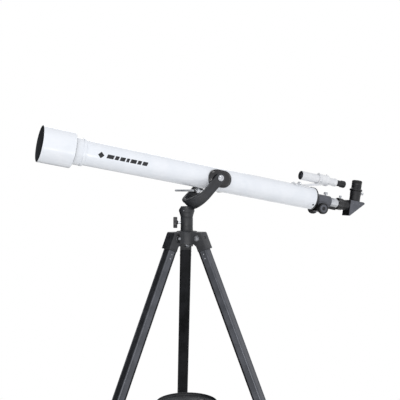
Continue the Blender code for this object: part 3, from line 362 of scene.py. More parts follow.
def carve(obj: bpy.types.Object, shape: bmesh.types.BMesh, place: Matrix, join: bool = False) -> None:
    """Cuts a shape from a piece, or joins it on, and applies the result.

    Args:
        obj: the piece.
        shape: the cutter, in millimetres.
        place: where the cutter stands in the frame.
        join: adds the shape in place of cutting it.
    """
    bmesh.ops.recalc_face_normals(shape, faces=shape.faces)
    bmesh.ops.scale(shape, vec=(MM, MM, MM), verts=shape.verts)
    mesh = bpy.data.meshes.new("cutter")
    shape.to_mesh(mesh)
    shape.free()
    helper = bpy.data.objects.new("cutter", mesh)
    bpy.context.scene.collection.objects.link(helper)
    helper.matrix_world = place
    modifier = obj.modifiers.new("carve", "BOOLEAN")
    modifier.operation = "UNION" if join else "DIFFERENCE"
    modifier.solver = "EXACT"
    modifier.object = helper
    bpy.context.view_layer.update()
    graph = bpy.context.evaluated_depsgraph_get()
    made = bpy.data.meshes.new_from_object(obj.evaluated_get(graph))
    obj.modifiers.remove(modifier)
    old, obj.data = obj.data, made
    made.shade_smooth()
    made.set_sharp_from_angle(angle=radians(35))
    bpy.data.meshes.remove(old)
    bpy.data.objects.remove(helper)
    bpy.data.meshes.remove(mesh)


def dressed(finish: bpy.types.Material, *nodes: str) -> None:
    """Gives nodes that keep their shape a finish."""
    for name in nodes:
        obj = frame["nodes"][name]
        for held in obj.material_slots:
            held.material = finish
        log.info("%s keeps its shape", name)


# -------------------------------------------------------------------------------------------- finishes


def linear(code: str) -> tuple[float, float, float, float]:
    """An sRGB hex code as a linear colour."""
    parts = [int(code[i:i + 2], 16) / 255 for i in (1, 3, 5)]
    red, green, blue = (p / 12.92 if p <= 0.04045 else ((p + 0.055) / 1.055) ** 2.4 for p in parts)
    return red, green, blue, 1.0


def add(tree: bpy.types.NodeTree, kind: str, values: dict | None = None, links: dict | None = None,
        **settings) -> bpy.types.Node:
    """Adds a node.

    Args:
        tree: the material's nodes.
        kind: the node's type.
        values: socket name or number to value.
        links: socket name or number to the output that feeds it.
        settings: the node's own properties.

    Returns:
        The node.
    """
    node = tree.nodes.new(kind)
    for key, value in settings.items():
        setattr(node, key, value)
    for key, value in (values or {}).items():
        node.inputs[key].default_value = value
    for key, source in (links or {}).items():
        tree.links.new(source, node.inputs[key])
    return node


class Grain(Enum):
    """How a surface was made, which sets the shape of its relief."""

    MOULDED = "moulded"
    SPRAYED = "sprayed"
    EXTRUDED = "extruded"
    TURNED = "turned"
    CAST = "cast"


@dataclass(frozen=True)
class Finish:
    """A surface with its colour, gloss and relief.

    Relief runs along Z on extruded pieces and round Z on turned ones, as their tools leave it.
    """

    name: str
    shade: str
    drift: str  # what patches of the shade drift to
    rough: tuple[float, float]  # on the glossiest and the dullest patch
    grain: Grain = Grain.MOULDED
    grain_mm: float = 0.6
    relief_mm: float = 0.02
    patch_mm: float = 25.0
    metallic: float = 0.0
    ior: float = 1.5
    coat: float = 0.0
    coat_rough: float = 0.05
    dust: float = 0.0  # share of pale dust in the drift

    def coordinates(self, tree: bpy.types.NodeTree) -> bpy.types.NodeSocket:
        """The piece's own metres, stretched the way its tool moved."""
        place = add(tree, "ShaderNodeTexCoord").outputs["Object"]
        if self.grain is Grain.EXTRUDED:
            return add(tree, "ShaderNodeMapping", {"Scale": (1, 1, 0.01)}, {"Vector": place}).outputs[0]
        if self.grain is Grain.TURNED:
            return add(tree, "ShaderNodeMapping", {"Scale": (0.02, 0.02, 1)}, {"Vector": place}).outputs[0]
        return place

    def relief(self, tree: bpy.types.NodeTree) -> bpy.types.NodeSocket:
        """Height of the surface, from 0 to 1."""
        place = self.coordinates(tree)
        scale = 1000 / self.grain_mm
        if self.grain in (Grain.SPRAYED, Grain.CAST):
            cells = add(tree, "ShaderNodeTexVoronoi", {"Scale": scale, "Smoothness": 1.0}, {"Vector": place},
                        feature="SMOOTH_F1")
            return cells.outputs["Distance"]
        noise = add(tree, "ShaderNodeTexNoise", {"Scale": scale, "Detail": 3.0, "Roughness": 0.6},
                    {"Vector": place})
        return noise.outputs["Fac"]

    def build(self) -> bpy.types.Material:
        """Makes the material.

        Returns:
            The material, with its colour and roughness in patches and its relief as bump.
        """
        material = bpy.data.materials.new(self.name)
        material.use_nodes = True
        tree = material.node_tree
        shader = tree.nodes["Principled BSDF"]
        place = add(tree, "ShaderNodeTexCoord").outputs["Object"]
        patches = add(tree, "ShaderNodeTexNoise",
                      {"Scale": 1000 / self.patch_mm, "Detail": 4.0, "Roughness": 0.62, "Distortion": 0.4},
                      {"Vector": place})
        share = add(tree, "ShaderNodeMapRange", {"From Min": 0.35, "From Max": 0.68},
                    {"Value": patches.outputs["Fac"]}, interpolation_type="SMOOTHSTEP")
        colour = add(tree, "ShaderNodeMix", {6: linear(self.shade), 7: linear(self.drift)},
                     {0: share.outputs[0]}, data_type="RGBA").outputs[2]
        if self.dust:
            specks = add(tree, "ShaderNodeTexNoise", {"Scale": 1000 / 1.1, "Detail": 1.0}, {"Vector": place})
            settled = add(tree, "ShaderNodeMapRange", {"From Min": 0.62, "From Max": 0.78, "To Max": self.dust},
                          {"Value": specks.outputs["Fac"]})
            colour = add(tree, "ShaderNodeMix", {7: linear("#8E8B86")}, {0: settled.outputs[0], 6: colour},
                         data_type="RGBA").outputs[2]
        tree.links.new(colour, shader.inputs["Base Color"])
        gloss = add(tree, "ShaderNodeMapRange", {"To Min": self.rough[0], "To Max": self.rough[1]},
                    {"Value": share.outputs[0]})
        tree.links.new(gloss.outputs[0], shader.inputs["Roughness"])
        bump = add(tree, "ShaderNodeBump", {"Strength": 0.6, "Distance": self.relief_mm * MM},
                   {"Height": self.relief(tree)})
        tree.links.new(bump.outputs[0], shader.inputs["Normal"])
        shader.inputs["Metallic"].default_value = self.metallic
        if not self.metallic:
            shader.inputs["IOR"].default_value = self.ior
        shader.inputs["Coat Weight"].default_value = self.coat
        shader.inputs["Coat Roughness"].default_value = self.coat_rough
        return material


@dataclass(frozen=True)
class CoatedGlass:
    """Crown glass with a magnesium fluoride coat: clear, with a faint blue and violet bloom."""

    name: str = "crown_glass_coated"
    shade: str = "#F2F6FA"
    bloom: str = "#6C7CE0"

    def build(self) -> bpy.types.Material:
        """Makes the material: clear glass whose edge-on parts take the coat's colour."""
        material = bpy.data.materials.new(self.name)
        material.use_nodes = True
        tree = material.node_tree
        shader = tree.nodes["Principled BSDF"]
        place = add(tree, "ShaderNodeTexCoord").outputs["Object"]
        film = add(tree, "ShaderNodeTexNoise", {"Scale": 1000 / 22, "Detail": 1.0}, {"Vector": place})
        rim = add(tree, "ShaderNodeLayerWeight", {"Blend": 0.35})
        share = add(tree, "ShaderNodeMath", {}, {0: rim.outputs["Facing"], 1: film.outputs["Fac"]},
                    operation="MULTIPLY")
        colour = add(tree, "ShaderNodeMix", {6: linear(self.shade), 7: linear(self.bloom)},
                     {0: share.outputs[0]}, data_type="RGBA")
        tree.links.new(colour.outputs[2], shader.inputs["Base Color"])
        shader.inputs["Roughness"].default_value = 0.02
        shader.inputs["IOR"].default_value = 1.52
        shader.inputs["Transmission Weight"].default_value = 0.9
        shader.inputs["Coat Weight"].default_value = 0.6
        shader.inputs["Coat Roughness"].default_value = 0.02
        shader.inputs["Coat IOR"].default_value = 1.38
        return material


# Baked gloss enamel on aluminium: a cool white with long clean highlights and the faintest orange peel.
ENAMEL = Finish("enamel_white_baked", "#E9ECF1", "#E3E7ED", (0.16, 0.24), Grain.SPRAYED, grain_mm=1.6,
                relief_mm=0.010, patch_mm=60, coat=0.6, coat_rough=0.04)
# Moulded white ABS of the finder and its bracket: a touch warmer and duller than the enamel, with soft grain.
WHITE_ABS = Finish("abs_white_moulded", "#E6E7E9", "#DADCE0", (0.26, 0.36), Grain.MOULDED, grain_mm=1.0,
                   relief_mm=0.012, patch_mm=18, coat=0.2)
# Moulded charcoal ABS with a spark-eroded texture: dull dark grey that scatters light. Grain is drawn coarser
# than its real 0.2 mm so that it shows.
CHARCOAL = Finish("abs_charcoal_spark_eroded", "#26272A", "#303236", (0.42, 0.56), Grain.MOULDED, grain_mm=0.7,
                  relief_mm=0.05, patch_mm=30, dust=0.10)
# Moulded black ABS from a polished tool: deep black with crisp reflections.
GLOSS_BLACK = Finish("abs_black_polished", "#0B0B0D", "#121316", (0.16, 0.26), Grain.MOULDED, grain_mm=2.2,
                     relief_mm=0.006, patch_mm=14, coat=0.5, coat_rough=0.05)
# Moulded black ABS with a light satin: black with broad soft highlights, as on knobs and the diagonal.
SATIN_BLACK = Finish("abs_black_satin", "#151517", "#1E1F22", (0.30, 0.42), Grain.MOULDED, grain_mm=0.6,
                     relief_mm=0.02, patch_mm=12, dust=0.06)
# Grey ABS of the saddle blocks and knob trims; on the focuser's barrel behind the black flange it is a painted
# highlight, on the diagonal's flat sides a painted lit side.
GREY_AND_PAINTED_LIGHT = Finish("abs_grey_and_painted_light", "#4E5057", "#5A5C64", (0.28, 0.40), Grain.MOULDED, grain_mm=0.6,
                      relief_mm=0.02, patch_mm=12)
# Black anodised aluminium extrusion: dark grey metal with fine lines along the leg. The lines are drawn at
# twice their real width.
ANODISED = Finish("aluminium_black_anodised_extruded", "#54565B", "#62646A", (0.34, 0.46), Grain.EXTRUDED,
                  grain_mm=0.8, relief_mm=0.03, patch_mm=40, metallic=0.75)
# A darker copy of the anodised finish on the legs' inner side and inside the hollow: painted shade that keeps the legs'
# inner edges dark.
ANODISED_PAINTED_SHADE = Finish("aluminium_anodised_painted_shade", "#1B1C1E", "#232427", (0.36, 0.48), Grain.EXTRUDED,
                       grain_mm=0.8, relief_mm=0.03, patch_mm=40, metallic=0.75)
# Polished chrome plate on turned brass: mirror bright, with faint tool rings.
CHROME = Finish("chrome_plate_on_turned_brass", "#D9DBDE", "#C9CCD1", (0.06, 0.13), Grain.TURNED, grain_mm=0.5,
                relief_mm=0.006, patch_mm=8, metallic=1.0)
# Zinc plated steel bolts: dull silver with uneven spangle.
ZINC = Finish("steel_zinc_plated", "#A9ABAE", "#8C8F94", (0.28, 0.42), Grain.CAST, grain_mm=1.4,
              relief_mm=0.01, patch_mm=5, metallic=1.0)
# Moulded nitrile rubber: soft black with no gloss and a bloom of dust.
RUBBER = Finish("rubber_black_moulded", "#161616", "#232323", (0.72, 0.86), Grain.MOULDED, grain_mm=0.7,
                relief_mm=0.05, patch_mm=9, dust=0.18)
# Flat black paint inside the tube and the shield: swallows light, so that the mouth reads as dark.
FLOCK = Finish("paint_flat_black_sprayed", "#202226", "#2B2D31", (0.80, 0.92), Grain.SPRAYED, grain_mm=0.9,
               relief_mm=0.04, patch_mm=20)
# Screen-printed ink of the decal: near black, a little duller than the enamel under it.
INK = Finish("ink_black_screen_printed", "#17181B", "#202227", (0.34, 0.44), Grain.SPRAYED, grain_mm=0.5,
             relief_mm=0.004, patch_mm=6)
# Silver lacquer on moulded trim: pale grey with a soft metallic sheen.
SILVER = Finish("abs_silver_lacquered", "#B9BDC4", "#A7ABB3", (0.24, 0.34), Grain.SPRAYED, grain_mm=0.6,
                relief_mm=0.01, patch_mm=10, metallic=0.6)
# Vacuum-coated aluminium mirror: clean and bright.
MIRROR = Finish("glass_mirror_vacuum_coated", "#E8EAEC", "#DFE2E6", (0.02, 0.04), Grain.SPRAYED, grain_mm=3.0,
                relief_mm=0.001, patch_mm=12, metallic=1.0)


class Palette:
    """Every finish, built once and shared."""

    def __init__(self) -> None:
        """Builds the materials."""
        self.enamel = ENAMEL.build()
        self.white_abs = WHITE_ABS.build()
        self.charcoal = CHARCOAL.build()
        self.gloss_black = GLOSS_BLACK.build()
        self.satin_black = SATIN_BLACK.build()
        # focuser_grey is the grey finish that also carries a painted highlight and painted lit sides.
        self.focuser_grey = GREY_AND_PAINTED_LIGHT.build()
        self.anodised = ANODISED.build()
        # The darker anodised copy: painted shade on the legs' inner sides and hollows.
        self.anodised_painted_shade = ANODISED_PAINTED_SHADE.build()
        self.chrome = CHROME.build()
        self.zinc = ZINC.build()
        self.rubber = RUBBER.build()
        self.flock = FLOCK.build()
        self.ink = INK.build()
        self.silver = SILVER.build()
        self.mirror = MIRROR.build()
        self.glass = CoatedGlass().build()


# ------------------------------------------------------------------------------------ sub-assemblies


@dataclass
class OpticalTube:
    """Main tube, lens cell, objective and dew shield."""

    radius: float = 33.0
    wall: float = 1.4
    rear: float = -333.0
    front: float = 398.0
    cell_rear: float = 373.0
    cell_front: float = 418.0
    cell_radius: float = 36.2
    shield_radius: float = 47.0
    shield_wall: float = 1.6
    shield_rear: float = 402.0
    shield_front: float = 486.0
    lens_radius: float = 30.0
    lens_rear: float = 403.0
    decal_front: float = 343.0
    decal_rear: float = 209.0
    decal_height: float = 17.0
    decal_droop: float = 0.03  # radians below the side

    def shell(self) -> bmesh.types.BMesh:
        """The main tube with a rolled rear rim."""
        inner = self.radius - self.wall
        profile = [(inner, self.rear), (self.radius, self.rear)]
        profile += [(self.radius, -280), (self.radius, -140), (self.radius, 0), (self.radius, 140)]
        profile += [(self.radius, 280), (self.radius, self.front), (inner, self.front), (inner, 280), (inner, 0)]
        profile += [(inner, -280)]
        shape = lathe(profile, 0.5, 144, ring=True)
        return painted(shape, 1, lambda at, _: Vector(at.xy).length < self.radius - 0.9)

    def wrapped(self, mark: Sequence[Point]) -> bmesh.types.BMesh:
        """A four-cornered mark of (along, up) points laid on the near side of the tube as a thin layer of ink."""
        first, second, third, fourth = [Vector(corner) for corner in mark]
        rings = []
        for i in range(9):
            start, end = first.lerp(second, i / 8), fourth.lerp(third, i / 8)
            ring = []
            for lift, order in ((0.03, range(9)), (0.13, range(8, -1, -1))):
                for k in order:
                    spot = start.lerp(end, k / 8)
                    turn = spot.y / self.radius - self.decal_droop
                    ring.append(((self.radius + lift) * sin(turn), -(self.radius + lift) * cos(turn), spot.x))
            rings.append(ring)
        shape = loft(rings)
        bmesh.ops.recalc_face_normals(shape, faces=shape.faces)
        return shape

    def decal(self) -> bmesh.types.BMesh:
        """A plain printed band on the near side: a lozenge and a row of slanted bars."""
        half = self.decal_height / 2
        middle = self.decal_front - half
        marks = [[(middle + half, 0.0), (middle, half), (middle - half, 0.0), (middle, -half)]]
        start, gap, lean, tall = middle - half - 6.0, 3.4, 3.0, half * 0.6
        shares = (16.0, 9.0, 12.0, 7.0, 14.0, 9.0, 12.0)
        unit = (start - self.decal_rear - gap * (len(shares) - 1)) / sum(shares)
        for share in shares:
            end = start - share * unit
            marks.append([(start, -tall), (start - lean, tall), (end - lean, tall), (end, -tall)])
            start = end - gap
        return merged(*[self.wrapped(mark) for mark in marks])

    def cell(self) -> bmesh.types.BMesh:
        """Lens cell: a stepped collar with a rib and a groove, and a threaded front."""
        r = self.cell_radius
        profile = [(self.radius + 0.3, self.cell_rear), (r - 0.5, self.cell_rear), (r, self.cell_rear + 1.5)]
        profile += [(r, 380), (r - 1.3, 380.6), (r - 1.3, 382.6), (r - 0.5, 383.4), (r - 0.5, 397), (r, 398)]
        for i in range(8):
            z = 403 + i * 1.6
            profile += [(r - 0.1, z), (r - 0.6, z + 0.8)]
        profile += [(r, self.cell_front - 1), (r - 0.4, self.cell_front), (self.lens_radius + 0.3, self.cell_front)]
        profile += [(self.lens_radius + 0.3, self.lens_rear - 0.3), (28, self.lens_rear - 0.3), (28, 398.3)]
        profile += [(self.radius + 0.3, 398.3)]
        shape = lathe(profile, 0.25, 128, ring=True)
        return painted(shape, 1, lambda at, n: at.z > 402 or Vector(at.xy).length < 32)

    def retainer(self) -> bmesh.types.BMesh:
        """Black ring that holds the lens."""
        profile = [(26.8, 413.2), (29.6, 413.2), (29.6, 417.2), (29.0, 417.8), (27.6, 417.8), (26.8, 415.5)]
        return lathe(profile, 0.3, 128, ring=True)

    def lens(self) -> bmesh.types.BMesh:
        """The objective: domed front, shallow back, with its edge ground."""
        r, rear = self.lens_radius - 0.1, self.lens_rear
        front = [(r * cos(t), rear + 5.6 + 2.8 * sin(t)) for t in (pi / 2 * i / 10 for i in range(11))][:-1]
        back = [(r * i / 6, rear + 1.6 * (1 - (i / 6) ** 2)) for i in range(7)]
        profile = back + [(r, rear + 5.0)] + front[1:] + [(0, rear + 8.4)]
        return turned(profile, 96)

    def shield(self) -> bmesh.types.BMesh:
        """Dew shield: thin wall, rolled front lip, and a flange that grips the cell."""
        r, wall = self.shield_radius, self.shield_wall
        hole = self.cell_radius + 0.3
        profile = [(hole, self.shield_rear), (r - 2.4, self.shield_rear), (r - 0.6, self.shield_rear + 1.0)]
        profile += [(r, self.shield_rear + 3.0), (r - 0.25, self.shield_rear + 4.0), (r - 0.25, 430), (r - 0.25, 460)]
        profile += [(r - 0.25, self.shield_front - 4), (r, self.shield_front - 3), (r, self.shield_front - 0.4)]
        profile += [(r - 0.6, self.shield_front), (r - wall, self.shield_front - 0.4)]
        for i in range(5):
            z = self.shield_front - 12 - 14 * i
            profile += [(r - wall, z + 1.2), (r - wall - 0.7, z + 0.6), (r - wall - 0.7, z - 0.6), (r - wall, z - 1.2)]
        profile += [(r - wall, self.shield_rear + 3), (hole, self.shield_rear + 3)]
        shape = lathe(profile, 0.35, 144, ring=True)
        painted(shape, 1, lambda at, n: Vector(at.xy).length < r - 1.0 and at.z > self.shield_rear + 0.5)
        # Slot 2, satin black on the flange's rear face, is painted shade at the shield's rear rim.
        return painted(shape, 2, lambda at, n: at.z < self.shield_rear + 0.6 and n.z < -0.3)

    def build(self, look: Palette) -> None:
        """Builds the tube's pieces."""
        place = tube_place()
        piece("main_tube_shell", self.shell(), place, "telescope_tube", [look.enamel, look.flock],
              ["main_tube"])
        piece("printed_band", self.decal(), place, "telescope_tube", [look.ink])
        piece("lens_cell_turned", self.cell(), place, "telescope_tube", [look.enamel, look.flock],
              ["lens_cell"])
        piece("lens_retainer", self.retainer(), place, "telescope_tube", [look.satin_black])
        piece("objective", self.lens(), place, "telescope_tube", [look.glass], ["objective_lens"])
        piece("dew_shield_rolled", self.shield(), place, "dew_shield", [look.enamel, look.flock, look.satin_black],
              ["dew_shield"])


@dataclass
class Saddle:
    """Oval plates on both sides of the tube, with their pivot bolts, and the stay rod's lug."""

    length: float = 70.0
    height: float = 48.0
    back: float = 6.0
    inner_face: float = 41.5  # of the fork's arms, from the middle plane
    arm: float = 12.0
    tube_radius: float = 33.3

    def plate(self) -> bmesh.types.BMesh:
        """The oval plate before the tube is cut from it: a crowned face with a raised rim."""
        outline = stadium(self.length - self.height, self.height / 2, 20)
        high = self.inner_face - 0.7
        rings = [(0.0, 20.0), (0.0, high - 5.0), (-0.3, high - 4.2), (-0.9, high - 3.6), (-2.4, high - 3.3),
                 (-3.0, high - 3.6), (-3.4, high - 3.3), (-5.5, high - 1.4), (-8.5, high - 0.3), (-11.0, high)]
        return loft([[(x, y, z) for x, y in grown(outline, inset)] for inset, z in rings])

    def bolt(self, sides: int = 48) -> bmesh.types.BMesh:
        """Pivot bolt: shank, washer and domed head with a round socket."""
        end = self.inner_face + self.arm
        profile = [(0, 34.9), (4.0, 34.9), (4.0, end + 0.3), (8.5, end + 0.3), (8.5, end + 1.1), (6.4, end + 1.1)]
        profile += [(6.2, end + 2.4), (5.0, end + 3.3), (2.4, end + 3.5), (2.2, end + 1.6), (0, end + 1.5)]
        return lathe(profile, 0.3, sides)

    def build(self, look: Palette) -> None:
        """Builds both sides."""
        tube = tube_place()
        for side, sign in (("near", -1), ("far", 1)):
            face = tube @ facing((0, sign, 0))
            plate = piece(f"saddle_plate_{side}", self.plate(), face @ moved(-self.back), "telescope_tube",
                          [look.gloss_black], [f"saddle_{side}"])
            carve(plate, lathe([(0, -60), (self.tube_radius, -60), (self.tube_radius, 60), (0, 60)], 0.01, 144), tube)
            carve(plate, lathe([(0, 30), (4.4, 30), (4.4, 60), (0, 60)], 0.01, 48), face)
            piece(f"pivot_bolt_domed_{side}", self.bolt(), face, "telescope_tube", [look.chrome],
                  [f"pivot_bolt_{side}"])
            screw = lathe([(0, 38.6), (2.5, 38.6), (2.6, 40.0), (1.9, 40.7), (1.0, 40.7), (0.9, 39.9), (0, 39.9)],
                          0.2, 32)
            piece(f"saddle_screw_{side}", screw, face @ moved(20, -2, -1.2), "telescope_tube", [look.chrome])
            block = pad(rounded(16, 11, 2.5), 34.0, 39.6, 0.8)
            piece(f"saddle_block_{side}", block, face @ moved(-26.5, 0, 0), "telescope_tube", [look.focuser_grey])
        dressed(look.satin_black, "stay_lug")


@dataclass
class Focuser:
    """Rack and pinion focuser: body, drawtube with its rack, pinion knobs, lock screw and collar."""

    tube_radius: float = 33.0
    rear_of_tube: float = -333.0
    housing_radius: float = 17.5
    housing_rear: float = -397.0
    bore: float = 14.9
    drawtube_radius: float = 14.5
    drawtube_wall: float = 1.2
    drawtube_front: float = -330.0
    drawtube_rear: float = -432.0
    collar_radius: float = 18.5
    collar_front: float = -427.0
    collar_rear: float = -444.0
    pinion_at: float = -362.0
    pinion_drop: float = 26.0
    pinion_radius: float = 4.5
    knob_radius: float = 16.5
    knob_inner: float = 19.0
    knob_outer: float = 32.0
    tooth_pitch: float = 1.6

    def body_profile(self) -> list[Point]:
        """Turned outline of the body: flange, cone, barrel with two bands."""
        flange = self.rear_of_tube - 4.3
        cone = flange - 14.0
        r = self.housing_radius
        profile = [(self.bore, self.rear_of_tube + 14), (31.3, self.rear_of_tube + 14)]
        profile += [(31.3, self.rear_of_tube - 0.3), (self.tube_radius + 0.8, self.rear_of_tube - 0.3)]
        profile += [(self.tube_radius + 0.8, flange + 0.8), (self.tube_radius, flange), (28.5, flange - 2.2)]
        profile += [(23.5, (flange + cone) / 2), (19.2, cone + 1.4), (r, cone), (r, cone - 6), (r - 0.5, cone - 6.6)]
        profile += [(r - 0.5, cone - 8.2), (r, cone - 8.8), (r, self.housing_rear + 6.5)]
        profile += [(r - 0.5, self.housing_rear + 6), (r - 0.5, self.housing_rear + 4.6), (r, self.housing_rear + 4)]
        profile += [(r, self.housing_rear), (self.bore, self.housing_rear)]
        return profile

    def rack(self) -> bmesh.types.BMesh:
        """The toothed strip under the drawtube."""
        low, high = self.drawtube_rear + 8, self.drawtube_front - 4
        root = self.pinion_drop - self.pinion_radius - 1.3
        rings = []
        count = int((high - low) / self.tooth_pitch)
        for i in range(count):
            z = low + i * self.tooth_pitch
            for share, depth in ((0.0, 0.0), (0.22, 0.9), (0.5, 0.9), (0.72, 0.0)):
                x = -(root + depth)
                rings.append([(x, -3, z + share * self.tooth_pitch), (x, 3, z + share * self.tooth_pitch),
                              (-13.9, 3, z + share * self.tooth_pitch), (-13.9, -3, z + share * self.tooth_pitch)])
        return loft(rings)

    def knob(self) -> bmesh.types.BMesh:
        """A focus knob: knurled rim, dished face and a domed cap."""
        low, high = self.knob_inner + 2, self.knob_outer
        outline = toothed(self.knob_radius, 0.55, 60, 4)
        levels = [(-1.0, low), (-0.2, low + 0.7), (0, low + 1.4), (0, high - 1.6), (-0.3, high - 0.8),
                  (-1.2, high - 0.2)]
        rings = [[(x, y, z) for x, y in grown(outline, g)] for g, z in levels]
        for radius, z in ((13.6, high - 0.1), (12.6, high - 0.3), (12.2, high - 1.2), (5.4, high - 1.2),
                          (5.0, high - 1.0), (4.6, high - 0.3), (2.5, high)):
            rings.append([(radius * cos(TURN * i / 240), radius * sin(TURN * i / 240), z) for i in range(240)])
        hub = lathe([(0, self.knob_inner - 1), (8, self.knob_inner - 1), (8.6, self.knob_inner + 1.5),
                     (8.6, low + 0.3), (0, low + 0.3)], 0.3, 64)
        return merged(loft(rings), hub)

    def build(self, look: Palette) -> None:
        """Builds the focuser's pieces."""
        tube = tube_place()
        body = piece("focuser_housing", lathe(self.body_profile()[::-1], 0.35, 112, ring=True), tube,
                     "telescope_tube", [look.focuser_grey, look.gloss_black], ["focuser_body"])
        pinion = tube @ facing((0, 1, 0), (0, 0, 1), (-self.pinion_drop, 0, self.pinion_at))
        cover = pad(rounded(26, 30, 5), -17, 17, 1.0)
        over = tube @ moved(5) @ facing((0, 1, 0), (0, 0, 1), (-self.pinion_drop, 0, self.pinion_at))
        carve(body, cover, over, join=True)
        carve(body, lathe([(0, -450), (self.bore, -450), (self.bore, -300), (0, -300)], 0.01, 96), tube)
        carve(body, pad(rounded(12, 7.2, 0.5), -450, -300, 0.1), tube @ moved(-15.4))
        carve(body, lathe([(0, -50), (3.4, -50), (3.4, 50), (0, 50)], 0.01, 40), pinion)
        carve(body, lathe([(0, -4.2), (5.3, -4.2), (5.3, 4.2), (0, 4.2)], 0.01, 40), pinion)
        # Flange and cone take gloss black; the barrel keeps the grey, a painted highlight on the black barrel.
        for face in body.data.polygons:
            if face.center.z > (self.rear_of_tube - 19) * MM:
                face.material_index = 1
        for i in range(3):
            t = TURN * i / 3 + radians(232)
            screw = lathe([(0, -1.4), (1.6, -1.4), (3.0, -0.2), (2.4, 0.8), (0.7, 1.0), (0.6, 0.3), (0, 0.3)], 0.15, 24)
            place = tube @ facing((cos(t), sin(t), 0), (0, 0, 1),
                                  (33.1 * cos(t), 33.1 * sin(t), self.rear_of_tube + 7))
            piece(f"flange_screw_{i}", screw, place, "telescope_tube", [look.satin_black])
        # Drawtube
        inner = self.drawtube_radius - self.drawtube_wall
        sleeve = lathe([(inner, self.drawtube_rear), (self.drawtube_radius, self.drawtube_rear),
                        (self.drawtube_radius, self.drawtube_front), (inner, self.drawtube_front)], 0.3, 112, True)
        painted(sleeve, 1, lambda at, _: Vector(at.xy).length < self.drawtube_radius - 0.5)
        piece("drawtube_polished", merged(sleeve), tube, "drawtube", [look.chrome, look.flock],
              ["drawtube"])
        piece("drawtube_rack", self.rack(), tube, "drawtube", [look.satin_black])
        r, front, rear = self.collar_radius, self.collar_front, self.collar_rear
        profile = [(self.drawtube_radius + 0.3, front), (r - 1.2, front), (r, front - 1.2), (r, front - 4)]
        profile += [(r - 0.6, front - 4.6), (r - 0.6, front - 5.6), (r, front - 6.2), (r, rear + 0.8), (r - 0.8, rear)]
        profile += [(16.2, rear), (16.2, self.drawtube_rear - 0.3)]
        profile += [(self.drawtube_radius + 0.3, self.drawtube_rear - 0.3)]
        collar = piece("drawtube_collar_turned", lathe(profile[::-1], 0.3, 96, ring=True), tube, "drawtube",
                       [look.gloss_black], ["drawtube_collar"])
        screw = joint_place("collar_screw_turn")
        carve(collar, lathe([(0, -5), (2.1, -5), (2.1, 30), (0, 30)], 0.01, 32), screw)
        piece("collar_thumbscrew", self.thumbscrew(16.1, r + 1.5, 4.2, 6.0), screw,
              "collar_screw", [look.chrome], ["collar_screw"])
        lock = joint_place("focus_lock_turn")
        shank = lathe([(0, 14.8), (2.4, 14.8), (2.4, 19.5), (0, 19.5)], 0.2, 32)
        grip = pad(toothed(6.0, 0.45, 22, 4), 19.5, 27.2, 0.6)
        piece("focus_lock_knob", merged(shank, grip), lock, "focus_lock_screw",
              [look.chrome], ["focus_lock_screw"])
        # Pinion and knobs
        teeth = pad(toothed(self.pinion_radius, 1.1, 14, 6), -3.5, 3.5, 0.2)
        shaft = lathe([(0, -29), (3, -29), (3, 29), (0, 29)], 0.4, 40)
        piece("pinion_shaft", merged(teeth, shaft), pinion, "focus_pinion", [look.chrome],
              ["focus_shaft"])
        for side, sign in (("near", -1), ("far", 1)):
            place = pinion @ facing((0, 0, sign), (1, 0, 0))
            piece(f"focus_knob_{side}", self.knob(), place, "focus_pinion", [look.satin_black],
                  ["focus_knob"] if side == "near" else [])
            trim = lathe([(5.6, 30.9), (11.9, 30.9), (11.9, 31.25), (5.6, 31.25)], 0.1, 96, ring=True)
            piece(f"focus_knob_trim_{side}", trim, place, "focus_pinion", [look.focuser_grey])

    @staticmethod
    def thumbscrew(tip: float, face: float, radius: float, height: float) -> bmesh.types.BMesh:
        """A small knurled thumbscrew: tip and face are distances along its axis."""
        shank = lathe([(0, tip), (1.8, tip), (1.8, face + 0.2), (0, face + 0.2)], 0.2, 28)
        head = pad(toothed(radius, 0.28, 26, 4), face, face + height, 0.5)
        return merged(shank, head)


